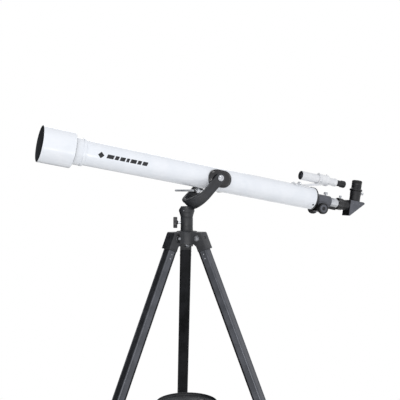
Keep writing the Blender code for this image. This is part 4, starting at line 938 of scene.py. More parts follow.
@dataclass
class Diagonal:
    """Star diagonal with its socket, thumbscrew, mirror and eyepiece."""

    front: float = -466.0
    rear: float = -521.0
    top: float = 18.0
    bottom: float = -31.0
    half: float = 17.5
    cut_back: float = 4.0
    nose_radius: float = 15.8
    nose_start: float = -432.6
    eyepiece_at: float = -492.5
    socket_radius: float = 17.0
    socket_top: float = 50.0
    barrel: float = 14.2
    flange: float = 19.5
    eyepiece_radius: float = 15.5
    eyepiece_top: float = 83.0

    def prism(self) -> bmesh.types.BMesh:
        """Side outline of the body, pulled across the tube, with soft edges."""
        corners = [(self.top, self.front), (self.top, self.rear + self.cut_back),
                   (self.top - self.cut_back, self.rear), (self.bottom, self.front - self.cut_back),
                   (self.bottom, self.front)]
        # Slot 2, the grey on the flat sides, is a painted lit side on the black body.
        return painted(pad(eased(corners, 1.6)[::-1], -self.half, self.half, 0.9, 4), 2, lambda at, n: abs(n.z) > 0.95)

    def build(self, look: Palette) -> None:
        """Builds the diagonal's pieces and the eyepiece."""
        tube = tube_place()
        side = tube @ Matrix(((1, 0, 0, 0), (0, 0, -1, 0), (0, 1, 0, 0), (0, 0, 0, 1)))
        up = tube @ facing((1, 0, 0), (0, 0, 1), (0, 0, self.eyepiece_at))
        body = piece("diagonal_prism", self.prism(), side, "diagonal",
                     [look.satin_black, look.flock, look.focuser_grey], ["diagonal_body"])
        nose = [(0, self.front - 3), (self.nose_radius, self.front - 3), (self.nose_radius, -450), (15.2, -449.4),
                (15.2, -447.6), (self.nose_radius, -447), (self.nose_radius, self.nose_start), (0, self.nose_start)]
        carve(body, lathe(nose, 0.3, 96), tube, join=True)
        r, top = self.socket_radius, self.socket_top
        socket = [(0, self.top - 3), (r - 1.0, self.top - 3), (r - 1.0, self.top + 1.2), (r - 0.6, self.top + 2)]
        socket += [(r - 0.6, top - 14), (r, top - 13), (r, top - 1.0), (r - 0.6, top), (0, top)]
        carve(body, lathe(socket, 0.3, 96), up, join=True)
        carve(body, lathe([(0, self.eyepiece_at - 1.3), (12.8, self.eyepiece_at - 1.3), (12.8, -400), (0, -400)],
                          0.01, 96), tube)
        carve(body, lathe([(0, -2.7), (self.barrel + 0.4, -2.7), (self.barrel + 0.4, 80), (0, 80)], 0.01, 96), up)
        low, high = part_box("diagonal_mirror")
        middle = (low + high) / 2
        slope = Vector((self.front - self.cut_back - self.rear, 0, self.top - self.cut_back - self.bottom))
        normal = tube.to_3x3() @ slope.normalized()
        carve(body, pad(rounded(25.6, 26.6, 1), -1.6, 11, 0.1), basis(normal, (0, 1, 0), middle))
        screw = joint_place("socket_screw_turn")
        carve(body, lathe([(0, -5), (2.1, -5), (2.1, 30), (0, 30)], 0.01, 32), screw)
        piece("socket_thumbscrew", Focuser.thumbscrew(14.9, r + 1.5, 4.0, 5.6), screw, "socket_screw",
              [look.chrome], ["socket_screw"])
        for name, sign in (("near", -1), ("far", 1)):
            face = tube @ facing((0, sign, 0), (1, 0, 0))
            corners = [(x, sign * y) for x, y in ((12.5, 470.8), (12.5, 511.0), (-24.0, 470.8))]
            # A thin grey plate on each flat side: painted lit side.
            cover = pad(eased(corners, 4.0, 6)[::-sign], self.half - 0.7, self.half - 0.02, 0.25)
            piece(f"diagonal_side_painted_light_{name}", cover, face, "diagonal", [look.focuser_grey])
            for i, (x, y) in enumerate(((8.5, 475.5), (8.5, 500.0), (-15.5, 475.5))):
                head = lathe([(0, self.half - 0.5), (1.5, self.half - 0.5), (1.5, self.half - 0.03), (1.2, self.half),
                              (0.5, self.half), (0.45, self.half - 0.4), (0, self.half - 0.4)], 0.1, 24)
                piece(f"diagonal_screw_{name}_{i}", head, face @ moved(x, sign * y), "diagonal", [look.zinc])
        dressed(look.mirror, "diagonal_mirror")
        self.eyepiece(look, up)

    def eyepiece(self, look: Palette, up: Matrix) -> None:
        """Builds the eyepiece: chromed barrel, ribbed body, lenses and rubber eyecup."""
        start, flange, bore = self.socket_top - 24, self.socket_top + 0.3, self.barrel - 1.6
        barrel = [(bore, start), (self.barrel, start), (self.barrel, start + 5), (self.barrel - 0.5, start + 6)]
        barrel += [(self.barrel - 0.5, start + 11), (self.barrel, start + 12), (self.barrel, flange), (bore, flange)]
        piece("eyepiece_barrel", lathe(barrel, 0.25, 96, ring=True), up, "eyepiece", [look.chrome])
        r, seat = self.eyepiece_radius, self.eyepiece_top - 9
        body = [(bore, flange + 0.05), (self.flange, flange + 0.05), (self.flange, flange + 4.6), (r + 1, flange + 6.4)]
        for i in range(6):
            z = flange + 7.6 + i * 1.9
            body += [(r, z), (r, z + 1.0), (r - 0.5, z + 1.25), (r - 0.5, z + 1.65)]
        body += [(r, seat - 2.6), (r, seat), (bore, seat)]
        piece("eyepiece_shell", lathe(body, 0.25, 112, ring=True), up, "eyepiece", [look.satin_black],
              ["eyepiece_body"])
        low, top = seat + 0.3, self.eyepiece_top
        cup = [(9.5, low), (r, low), (r, low + 1.4), (r - 0.5, low + 1.9), (r - 0.5, low + 2.5), (r, low + 3.0)]
        cup += [(r, top - 3), (r - 1.0, top - 0.8), (r - 2.5, top), (12.2, top), (10.4, top - 1.6), (9.5, top - 4)]
        piece("eyecup_folded", lathe(cup, 0.35, 96, ring=True), up, "eyepiece", [look.rubber], ["eyecup"])
        for name, radius, low_z in (("eye_lens", 9.2, seat - 0.5), ("field_lens", 12.3, start + 4)):
            bulge = [(radius * cos(t), low_z + 2.0 + 1.6 * sin(t)) for t in (pi / 2 * i / 8 for i in range(9))][:-1]
            under = [(radius * i / 4, low_z + 0.6 * (i / 4) ** 2) for i in range(5)]
            piece(f"eyepiece_{name}", turned(under + bulge + [(0, low_z + 3.6)], 64), up, "eyepiece", [look.glass])


@dataclass
class Finder:
    """Finder scope on its curved foot, with thumb nuts, ring, screws and eyepiece."""

    rise: float = 62.0
    radius: float = 13.5
    front: float = -285.0
    step: float = -385.0
    rear: float = -412.0
    ring_front: float = -345.0
    ring_rear: float = -380.0
    ring_radius: float = 17.0
    foot_front: float = -262.0
    foot_rear: float = -312.0
    foot_angle: float = 38.0  # degrees each way round the tube
    tube_radius: float = 33.0
    eye_rear: float = -445.0

    def foot(self) -> bmesh.types.BMesh:
        """Curved base plate, narrower in front, with a raised edge."""
        rings = []
        count = 25
        for i in range(count):
            share = i / (count - 1)
            s = self.foot_rear + (self.foot_front - self.foot_rear) * share
            end = min(share, 1 - share) * (count - 1)
            wide = radians(self.foot_angle) * (1 - 0.38 * max(0.0, share - 0.45) ** 1.4)
            wide *= 0.90 + 0.10 * min(1.0, end / 2.5) ** 0.5
            lift = 2.8 - 0.9 * max(0.0, 1 - end / 1.5)
            steps = 28
            top = []
            for k in range(steps + 1):
                t = wide * (2 * k / steps - 1)
                rim = 0.45 if abs(2 * k / steps - 1) > 0.88 and lift > 2.7 else 0.0
                soft = 0.8 if k in (0, steps) else 0.0
                radius = self.tube_radius + lift - 0.45 + rim - soft
                top.append((radius * cos(t), radius * sin(t), s))
            under = [((self.tube_radius + 0.3) * cos(t), (self.tube_radius + 0.3) * sin(t), s)
                     for t in (wide * (1 - 2 * k / steps) for k in range(steps + 1))]
            rings.append(top + under)
        return loft(rings)

    def stalk(self) -> bmesh.types.BMesh:
        """Curved web that rises from the foot to the ring."""
        rings = []
        count = 17
        for i in range(count):
            share = i / (count - 1)
            rise = self.tube_radius + 0.6 + share * (self.rise - self.ring_radius + 3.6 - self.tube_radius)
            back = self.foot_front - 30 + (self.ring_rear + 18 - self.foot_front + 30) * share ** 0.8
            flare = 1.6 * (max(0.0, 0.25 - share) / 0.25) ** 2
            outline = rounded(29.5, 19.0 - 5.0 * sin(pi * share) + flare - 1.6, 3.2, 5)
            rings.append([(rise, wide, back + deep) for deep, wide in outline])
        return loft(rings)

    def build(self, look: Palette) -> None:
        """Builds the finder's pieces."""
        tube = tube_place()
        raised = tube @ moved(self.rise)
        bracket = piece("finder_foot", self.foot(), tube, "telescope_tube", [look.white_abs],
                        ["finder_bracket"])
        for name in ("near", "far"):
            nut = joint_place(f"finder_nut_{name}_turn")
            carve(bracket, lathe([(0, 28), (2.3, 28), (2.3, 45), (0, 45)], 0.01, 28), nut)
            low, face = self.tube_radius + 0.6, self.tube_radius + 3.2
            shank = lathe([(0, low), (2.0, low), (2.0, face + 6.6), (1.4, face + 7), (0, face + 7)], 0.2, 28)
            grip = pad(toothed(5.4, 0.35, 24, 4), face, face + 5.6, 0.5)
            piece(f"finder_thumbnut_{name}", merged(shank, grip), nut, f"finder_nut_{name}", [look.chrome],
                  [f"finder_nut_{name}"])
        web = piece("finder_stalk", self.stalk(), tube, "telescope_tube", [look.white_abs])
        way = [(0, -420), (self.radius + 0.3, -420), (self.radius + 0.3, -280), (0, -280)]
        carve(web, lathe(way, 0.01, 72), raised)
        r = self.ring_radius
        ring = [(self.radius + 0.3, self.ring_rear), (r - 0.4, self.ring_rear), (r, self.ring_rear + 0.8)]
        ring += [(r, self.ring_rear + 6), (r - 0.7, self.ring_rear + 6.8), (r - 0.7, self.ring_front - 6.8)]
        ring += [(r, self.ring_front - 6), (r, self.ring_front - 0.8), (r - 0.4, self.ring_front)]
        ring += [(self.radius + 0.3, self.ring_front)]
        piece("finder_ring", lathe(ring, 0.3, 96, ring=True), raised, "telescope_tube", [look.white_abs])
        for end, s in (("front", self.ring_front - 3.4), ("rear", self.ring_rear + 3.4)):
            for i in range(3):
                t = TURN * i / 3 + pi / 3 + pi
                head = lathe([(0, r - 2.0), (1.7, r - 2.0), (1.7, r + 1.4), (1.3, r + 1.9), (0.5, r + 1.9),
                              (0.45, r + 1.3), (0, r + 1.3)], 0.15, 24)
                place = raised @ facing((cos(t), sin(t), 0), (0, 0, 1), (0, 0, s))
                piece(f"finder_adjuster_{end}_{i}", head, place, "telescope_tube", [look.chrome])
        self.scope(look, raised)

    def scope(self, look: Palette, raised: Matrix) -> None:
        """Builds the finder's tube, lens and eyepiece."""
        inner, r = self.radius - 1.5, self.radius
        tube = [(inner, self.front - 10), (inner, self.front - 0.5), (inner + 0.5, self.front), (r - 0.5, self.front)]
        tube += [(r, self.front - 0.6), (r, self.front - 9), (r - 0.5, self.front - 9.6), (r - 0.5, self.front - 11)]
        tube += [(r - 0.2, self.front - 11.6), (r - 0.2, self.step + 1), (r - 0.8, self.step), (11.4, self.step - 6)]
        tube += [(11.2, self.step - 7), (11.2, self.rear + 9), (12.0, self.rear + 8), (12.2, self.rear + 7)]
        tube += [(12.2, self.rear + 0.6), (11.8, self.rear), (8.0, self.rear), (8.0, self.step - 4)]
        shape = lathe(tube, 0.3, 96, ring=True)
        painted(shape, 1, lambda at, n: Vector(at.xy).length < r - 1.2 and at.z > self.step)
        piece("finder_scope", shape, raised, "telescope_tube", [look.white_abs, look.flock],
              ["finder_tube"])
        band = lathe([(inner + 0.1, self.front + 0.0), (r - 0.4, self.front), (r - 0.4, self.front + 0.35),
                      (inner + 0.1, self.front + 0.35)], 0.1, 96, ring=True)
        piece("finder_front_band", band, raised, "telescope_tube", [look.gloss_black])
        lens = [(11.6 * cos(t), self.front - 8 + 2.0 * sin(t)) for t in (pi / 2 * i / 8 for i in range(9))][:-1]
        piece("finder_objective", turned([(0, self.front - 10)] + [(11.6, self.front - 10)] + lens +
                                         [(0, self.front - 6)], 64), raised, "telescope_tube", [look.glass])
        end = self.eye_rear
        grip = [(7.6, self.rear + 15), (7.6, self.rear - 0.3), (9.2, self.rear - 0.3), (9.2, end + 14.5)]
        for i in range(6):
            z = end + 13.4 - i * 1.9
            grip += [(10.8, z), (10.8, z - 1.0), (10.2, z - 1.2), (10.2, z - 1.7)]
        grip += [(10.8, end + 1.6), (10.2, end + 0.4), (9.4, end), (5.8, end), (5.2, end + 2.6), (0, end + 3.6)]
        shape = lathe([(0, self.rear + 15)] + grip, 0.25, 96)
        piece("finder_eyepiece_ribbed", shape, raised, "finder_eyepiece", [look.satin_black],
              ["finder_eyepiece"])
        eye = [(0, end + 3.4), (5.0, end + 2.7), (4.6, end + 1.9), (2.6, end + 1.4), (0, end + 1.3)]
        piece("finder_eye_lens", turned(eye[::-1], 48), raised, "finder_eyepiece", [look.glass])


@dataclass
class Fork:
    """U-shaped fork with ribbed arms on its stem, the stay clamp and the stay rod."""

    lean: float = 47.3  # degrees, arms above the horizontal
    inner: float = 41.5
    thickness: float = 12.0
    width: float = 26.0
    straight: float = 58.0
    reach: float = 101.0
    post_top: float = 57.3  # above the leg hinges
    stem_radius: float = 12.0
    post_radius: float = 17.0
    collar_radius: float = 21.5
    rib_pitch: float = 3.4
    cradle_spread: float = 8.0  # the U's bottom is this much wider than its arms, on its upper side
    stay_side: float = 34.0
    stay_radius: float = 3.0
    stay_length: float = 135.0

    def middle_line(self) -> list[tuple[float, float, float]]:
        """The U as (side, distance down from the altitude axis, distance along) at half-millimetre steps."""
        side = self.inner + self.thickness / 2
        bend = self.reach - self.straight
        line = [(side, self.straight * i / 120) for i in range(120)]
        line += [(side * cos(pi * i / 240), self.straight + bend * sin(pi * i / 240)) for i in range(241)]
        line += [(-side, self.straight * (1 - i / 120)) for i in range(1, 121)]
        made, total = [], 0.0
        for i, (s, run) in enumerate(line):
            if i:
                total += sqrt((s - line[i - 1][0]) ** 2 + (run - line[i - 1][1]) ** 2)
            made.append((s, run, total))
        return made

    def arms(self) -> bmesh.types.BMesh:
        """Both arms in one sweep. The outer face has a recessed panel with cross ribs."""
        line = self.middle_line()
        whole = line[-1][2]
        half, wide = self.thickness / 2, self.width / 2
        rings = []
        for i, (side, run, along) in enumerate(line):
            before, after = line[max(i - 1, 0)], line[min(i + 1, len(line) - 1)]
            step = Vector((after[1] - before[1], after[0] - before[0])).normalized()
            out = Vector((-step.y, step.x))
            end = min(along, whole - along)
            sink = 0.0 if end < 14 else min(1.0, (end - 14) / 2)
            rib = sink * (1.0 - 0.55 * (0.5 + 0.5 * cos(TURN * along / self.rib_pitch)))
            section = arc(-half + 3, -wide + 3, 3, 180, 270, 4)
            section += arc(half - 3, -wide + 3, 3, 270, 360, 4)
            section += [(half, -wide + 4.4), (half - 0.9 * sink, -wide + 5.2), (half - rib, -4), (half - rib, 4)]
            section += [(half - 0.9 * sink, wide - 5.2), (half, wide - 4.4)]
            section += arc(half - 3, wide - 3, 3, 0, 90, 4) + arc(-half + 3, wide - 3, 3, 90, 180, 4)
            share = max(0.0, min(1.0, (end - 52) / (whole / 2 - 70)))
            spread = self.cradle_spread * share * share * (3 - 2 * share)
            rings.append([(run + out.x * t, w + spread * (w + wide) / (2 * wide), side + out.y * t)
                          for t, w in section])
        return loft(rings)

    def build(self, look: Palette) -> None:
        """Builds the fork and what hangs on it."""
        at = Vector(JOINTS["altitude_tilt"]["pos_m"])
        axis = Vector(JOINTS["azimuth_turn"]["pos_m"])
        stand = Matrix.Translation(axis)
        lean = basis((0, 1, 0), (-cos(radians(self.lean)), 0, -sin(radians(self.lean))), at)
        fork = piece("fork_ribbed", self.arms(), lean, "fork", [look.charcoal], ["fork"])
        side = self.inner + self.thickness / 2
        r = self.width / 2
        for sign in (1, -1):
            face = basis((0, sign, 0), (0, 0, 1), at)
            tip = [(0, self.inner), (r - 1.2, self.inner), (r, self.inner + 1.2), (r, self.inner + 10.4)]
            tip += [(r - 1.6, self.inner + 12), (10.4, self.inner + 12), (9.8, self.inner + 11.2)]
            tip += [(0, self.inner + 11.2)]
            carve(fork, lathe(tip, 0.5, 72), face, join=True)
            carve(fork, lathe([(0, 30), (4.4, 30), (4.4, 70), (0, 70)], 0.01, 40), face)
        start = self.post_top
        stem = [(0, -8), (self.stem_radius, -8), (self.stem_radius, start), (self.post_radius, start)]
        stem += [(self.post_radius + 0.6, start + 3), (self.collar_radius - 1.5, start + 12)]
        stem += [(self.collar_radius, start + 15), (self.collar_radius, start + 20), (15.5, start + 29.5)]
        stem += [(0, start + 29.5)]
        carve(fork, lathe(stem, 0.8, 96), stand, join=True)
        clamp = joint_place("stay_clamp_swivel")
        way = lathe([(0, self.stay_side), (4.4, self.stay_side), (4.4, 70), (0, 70)], 0.01, 40)
        carve(fork, way, self.on_plane(clamp))
        carve(fork, lathe([(0, -20), (4.2, -20), (4.2, 30), (0, 30)], 0.01, 40), stand)
        for i in range(4):
            t = TURN * i / 4 + pi / 4
            head = lathe([(0, -1.5), (1.6, -1.5), (1.6, 0.3), (1.2, 0.7), (0.5, 0.7), (0.45, 0.1), (0, 0.1)], 0.1, 24)
            place = stand @ facing((cos(t), sin(t), 0), (0, 0, 1), (21.5 * cos(t), 21.5 * sin(t), start + 17.5))
            piece(f"collar_grub_{i}", head, place, "fork", [look.zinc])
        low = -18.4
        washer = lathe([(3.9, low), (15, low), (15, low - 1.6), (3.9, low - 1.6)], 0.3, 64, ring=True)
        hexagon = pad([(6.5 * cos(TURN * i / 6), 6.5 * sin(TURN * i / 6)) for i in range(6)], low - 8, low - 1.7, 0.5)
        shank = lathe([(0, low - 2), (3.8, low - 2), (3.8, 25), (0, 25)], 0.3, 32)
        piece("stem_screw_hexagon", merged(washer, hexagon, shank), stand, "fork", [look.zinc],
              ["stem_screw"])
        self.stay(look, clamp)
        log.info("fork arms stand %.1f mm from the middle", side)

    @staticmethod
    def on_plane(place: Matrix) -> Matrix:
        """The place moved along Y to the altitude joint's plane, from which the stay's distances are taken."""
        level = JOINTS["altitude_tilt"]["pos_m"][1]
        made = place.copy()
        made.translation.y = level
        return made

    def stay(self, look: Palette, clamp: Matrix) -> None:
        """Builds the swivel clamp, its thumbscrew and the stay rod."""
        clamp = self.on_plane(clamp)
        low, high = self.stay_side - 6, self.inner - 0.3
        block = [(0, low), (6.9, low), (7.5, low + 0.6), (7.5, high - 4), (6.8, high - 3.4), (6.8, high - 2.4)]
        block += [(7.5, high - 1.8), (7.5, high), (4.0, high), (4.0, self.inner + 14), (0, self.inner + 14)]
        swivel = piece("stay_swivel", lathe(block, 0.3, 64), clamp, "stay_clamp", [look.satin_black],
                       ["stay_clamp"])
        hinge = self.on_plane(joint_place("stay_rod_swing"))
        run = clamp.translation - hinge.translation
        centre = basis(run, (0, 1, 0), hinge.translation + Vector((0, self.stay_side * MM, 0)))
        carve(swivel, lathe([(0, -10), (3.4, -10), (3.4, 160), (0, 160)], 0.01, 40), centre)
        top = low - 0.3
        grip = pad(toothed(7.4, 0.4, 30, 4), top - 5.6, top - 0.4, 0.6)
        cap = lathe([(0, top - 6.5), (4.6, top - 6.5), (5.4, top - 5.9), (5.4, top - 5.4), (0, top - 5.4)], 0.3, 48)
        neck = lathe([(0, top - 0.6), (5.2, top - 0.6), (5.2, top), (0, top)], 0.1, 48)
        piece("stay_thumbscrew", merged(grip, cap, neck), clamp, "stay_screw", [look.chrome],
              ["stay_screw"])
        end = self.stay_length
        rod = lathe([(0, 4.4), (self.stay_radius, 4.4), (self.stay_radius, end - 1.4), (2.2, end - 0.4),
                     (1.2, end), (0, end)], 0.5, 48)
        eye = lathe([(2.6, -2.9), (5.8, -2.9), (5.8, 2.9), (2.6, 2.9)], 0.5, 48, ring=True)
        shifted(eye, turn=Matrix.Rotation(pi / 2, 4, "Y"))
        piece("stay_rod_polished", merged(rod, eye), centre, "stay_rod", [look.chrome], ["stay_rod"])


@dataclass
class Hub:
    """Hub casting with its post, leg pockets and bolts, and the wing screw that clamps the fork."""

    hinge_radius: float = 40.0
    splay: float = 22.4
    bottom: float = -18.0
    top: float = 18.5
    radius: float = 31.0
    post_radius: float = 17.0
    post_top: float = 57.0
    socket: float = 12.4
    leg_width: float = 31.0
    leg_depth: float = 25.0
    cheek: float = 4.5
    bolt_radius: float = 4.0

    def build(self, look: Palette) -> None:
        """Builds the hub's pieces."""
        stand = Matrix.Translation(JOINTS["azimuth_turn"]["pos_m"])
        slope = sin(radians(self.splay)) / cos(radians(self.splay))
        profile = [(self.socket, self.bottom), (29, self.bottom), (self.radius, self.bottom + 2)]
        profile += [(self.radius, self.top - 4), (27, self.top), (19.4, self.top), (17.6, self.top + 1.6)]
        profile += [(17.0, self.top + 4), (17.0, self.top + 12), (16.5, self.top + 12.6), (16.5, self.top + 14)]
        profile += [(17.0, self.top + 14.6), (17.0, self.post_top - 3), (16.4, self.post_top - 2.4)]
        profile += [(17.0, self.post_top - 1.8), (17.0, self.post_top), (self.socket, self.post_top)]
        hub = piece("hub_moulded", lathe(profile, 0.5, 96, ring=True), stand, "root", [look.charcoal],
                    ["hub_casting"])
        half = self.leg_width / 2 + 0.3 + self.cheek
        outer = self.leg_depth / 2 / cos(radians(self.splay)) + 3.9
        inner = self.socket + 3
        low, high = -28.0, self.top - 2
        line = [(self.hinge_radius + outer - low * slope, low), (self.hinge_radius + outer - high * slope, high)]
        line += [(inner, high), (inner, self.bottom + 3), (self.hinge_radius - 12, self.bottom + 3)]
        line += [(self.hinge_radius + 6, low)]
        wall = self.leg_depth / 2 / cos(radians(self.splay)) + 0.4
        back = self.socket + 8.5
        room = [(self.hinge_radius + wall + 50 * slope, -50), (self.hinge_radius + wall - 12 * slope, 12)]
        room += [(self.hinge_radius + wall - 10, 14.5), (back, 14.5), (back, -50)]
        flat = Matrix.Rotation(pi / 2, 4, "X")
        radials = {leg: stand @ basis((0, 0, 1), self.outward(leg), (0, 0, 0)) for leg in LEGS}
        for radial in radials.values():
            carve(hub, pad(eased(line, 3.0), -half, half, 1.2), radial @ flat, join=True)
        for radial in radials.values():
            carve(hub, pad(eased(room, 0.8), -self.leg_width / 2 - 0.3, self.leg_width / 2 + 0.3, 0.1), radial @ flat)
            bore = self.bolt_radius + 0.4
            carve(hub, lathe([(0, -50), (bore, -50), (bore, 50), (0, 50)], 0.01, 40),
                  radial @ facing((0, 1, 0), (0, 0, 1), (self.hinge_radius, 0, 0)))
            slot_cut = pad(rounded(7, 5, 0.6), -3, 3, 0.1)
            carve(hub, slot_cut, radial @ facing((1, 0, 0), (0, 0, 1), (57.6 - 0.4 * 7, 0, 2)))
        knob = joint_place("azimuth_knob_turn")
        carve(hub, lathe([(0, 2), (3.4, 2), (3.4, 30), (0, 30)], 0.01, 32), knob)
        for leg, radial in radials.items():
            self.bolt(look, leg, radial @ facing((0, 1, 0), (0, 0, 1), (self.hinge_radius, 0, 0)))
        self.wing_screw(look, knob)

    @staticmethod
    def outward(leg: str) -> Vector:
        """Level direction from the post to a leg's hinge."""
        run = Vector(JOINTS[f"leg_fold_{leg}"]["pos_m"]) - Vector(JOINTS["azimuth_turn"]["pos_m"])
        return Vector((run.x, run.y, 0)).normalized()

    def bolt(self, look: Palette, leg: str, place: Matrix) -> None:
        """A leg's hinge bolt with a hexagon head and a wing nut."""
        end = self.leg_width / 2 + self.cheek + 0.6
        head = pad([(6.6 * cos(TURN * i / 6), 6.6 * sin(TURN * i / 6)) for i in range(6)], -end - 6, -end - 1.2, 0.7)
        washers = [lathe([(4.05, z), (7.6, z), (7.6, z + 1), (4.05, z + 1)], 0.2, 40, ring=True)
                   for z in (-end - 1.1, end + 0.1)]
        shank = lathe([(0, -end - 2), (self.bolt_radius, -end - 2), (self.bolt_radius, end + 6.4), (3.4, end + 7),
                       (0, end + 7)], 0.3, 40)
        piece(f"hinge_bolt_hexagon_{leg}", merged(head, shank, *washers), place, "root", [look.zinc],
              [f"hinge_bolt_{leg}"])
        boss = lathe([(4.1, end + 1.2), (6.6, end + 1.2), (5.8, end + 6), (4.1, end + 6)], 0.4, 40, ring=True)
        wings = []
        for sign in (1, -1):
            outline = [(4.6 * sign, -1.5), (7.5 * sign, -2.2), (11.5 * sign, -1.9), (12.2 * sign, 0),
                       (11.5 * sign, 1.9),
                       (7.5 * sign, 2.2), (4.6 * sign, 1.5)]
            wing = pad(eased(outline[::sign], 0.8, 2), end + 2.4, end + 9.4, 0.5)
            wings.append(wing)
        piece(f"wing_nut_{leg}", merged(boss, *wings), place, "root", [look.satin_black])

    def wing_screw(self, look: Palette, knob: Matrix) -> None:
        """The wing screw in the post: chromed stem and a moulded wing."""
        start, r = 12.4, self.post_radius
        stem = lathe([(0, start), (3.0, start), (3.0, r + 7.4), (0, r + 7.4)], 0.3, 32)
        piece("azimuth_screw_stem", stem, knob, "azimuth_knob", [look.chrome])
        profile = [(0, r + 6.6), (4.6, r + 6.6), (5.5, r + 8), (5.5, r + 12), (4.2, r + 13.4), (0, r + 13.6)]
        hub = lathe(profile, 0.4, 48)
        outline = [(0, -4.6), (7.0, -4.2), (13.0, -5.4), (15.2, -3.0), (15.2, 3.0), (13.0, 5.4), (7.0, 4.2), (0, 4.6),
                   (-7.0, 4.2), (-13.0, 5.4), (-15.2, 3.0), (-15.2, -3.0), (-13.0, -5.4), (-7.0, -4.2)]
        wing = pad(eased(outline, 2.0, 4), r + 9, r + 20.0, 1.8, 4)
        piece("azimuth_wing", merged(hub, wing), knob, "azimuth_knob", [look.satin_black],
              ["azimuth_knob"])


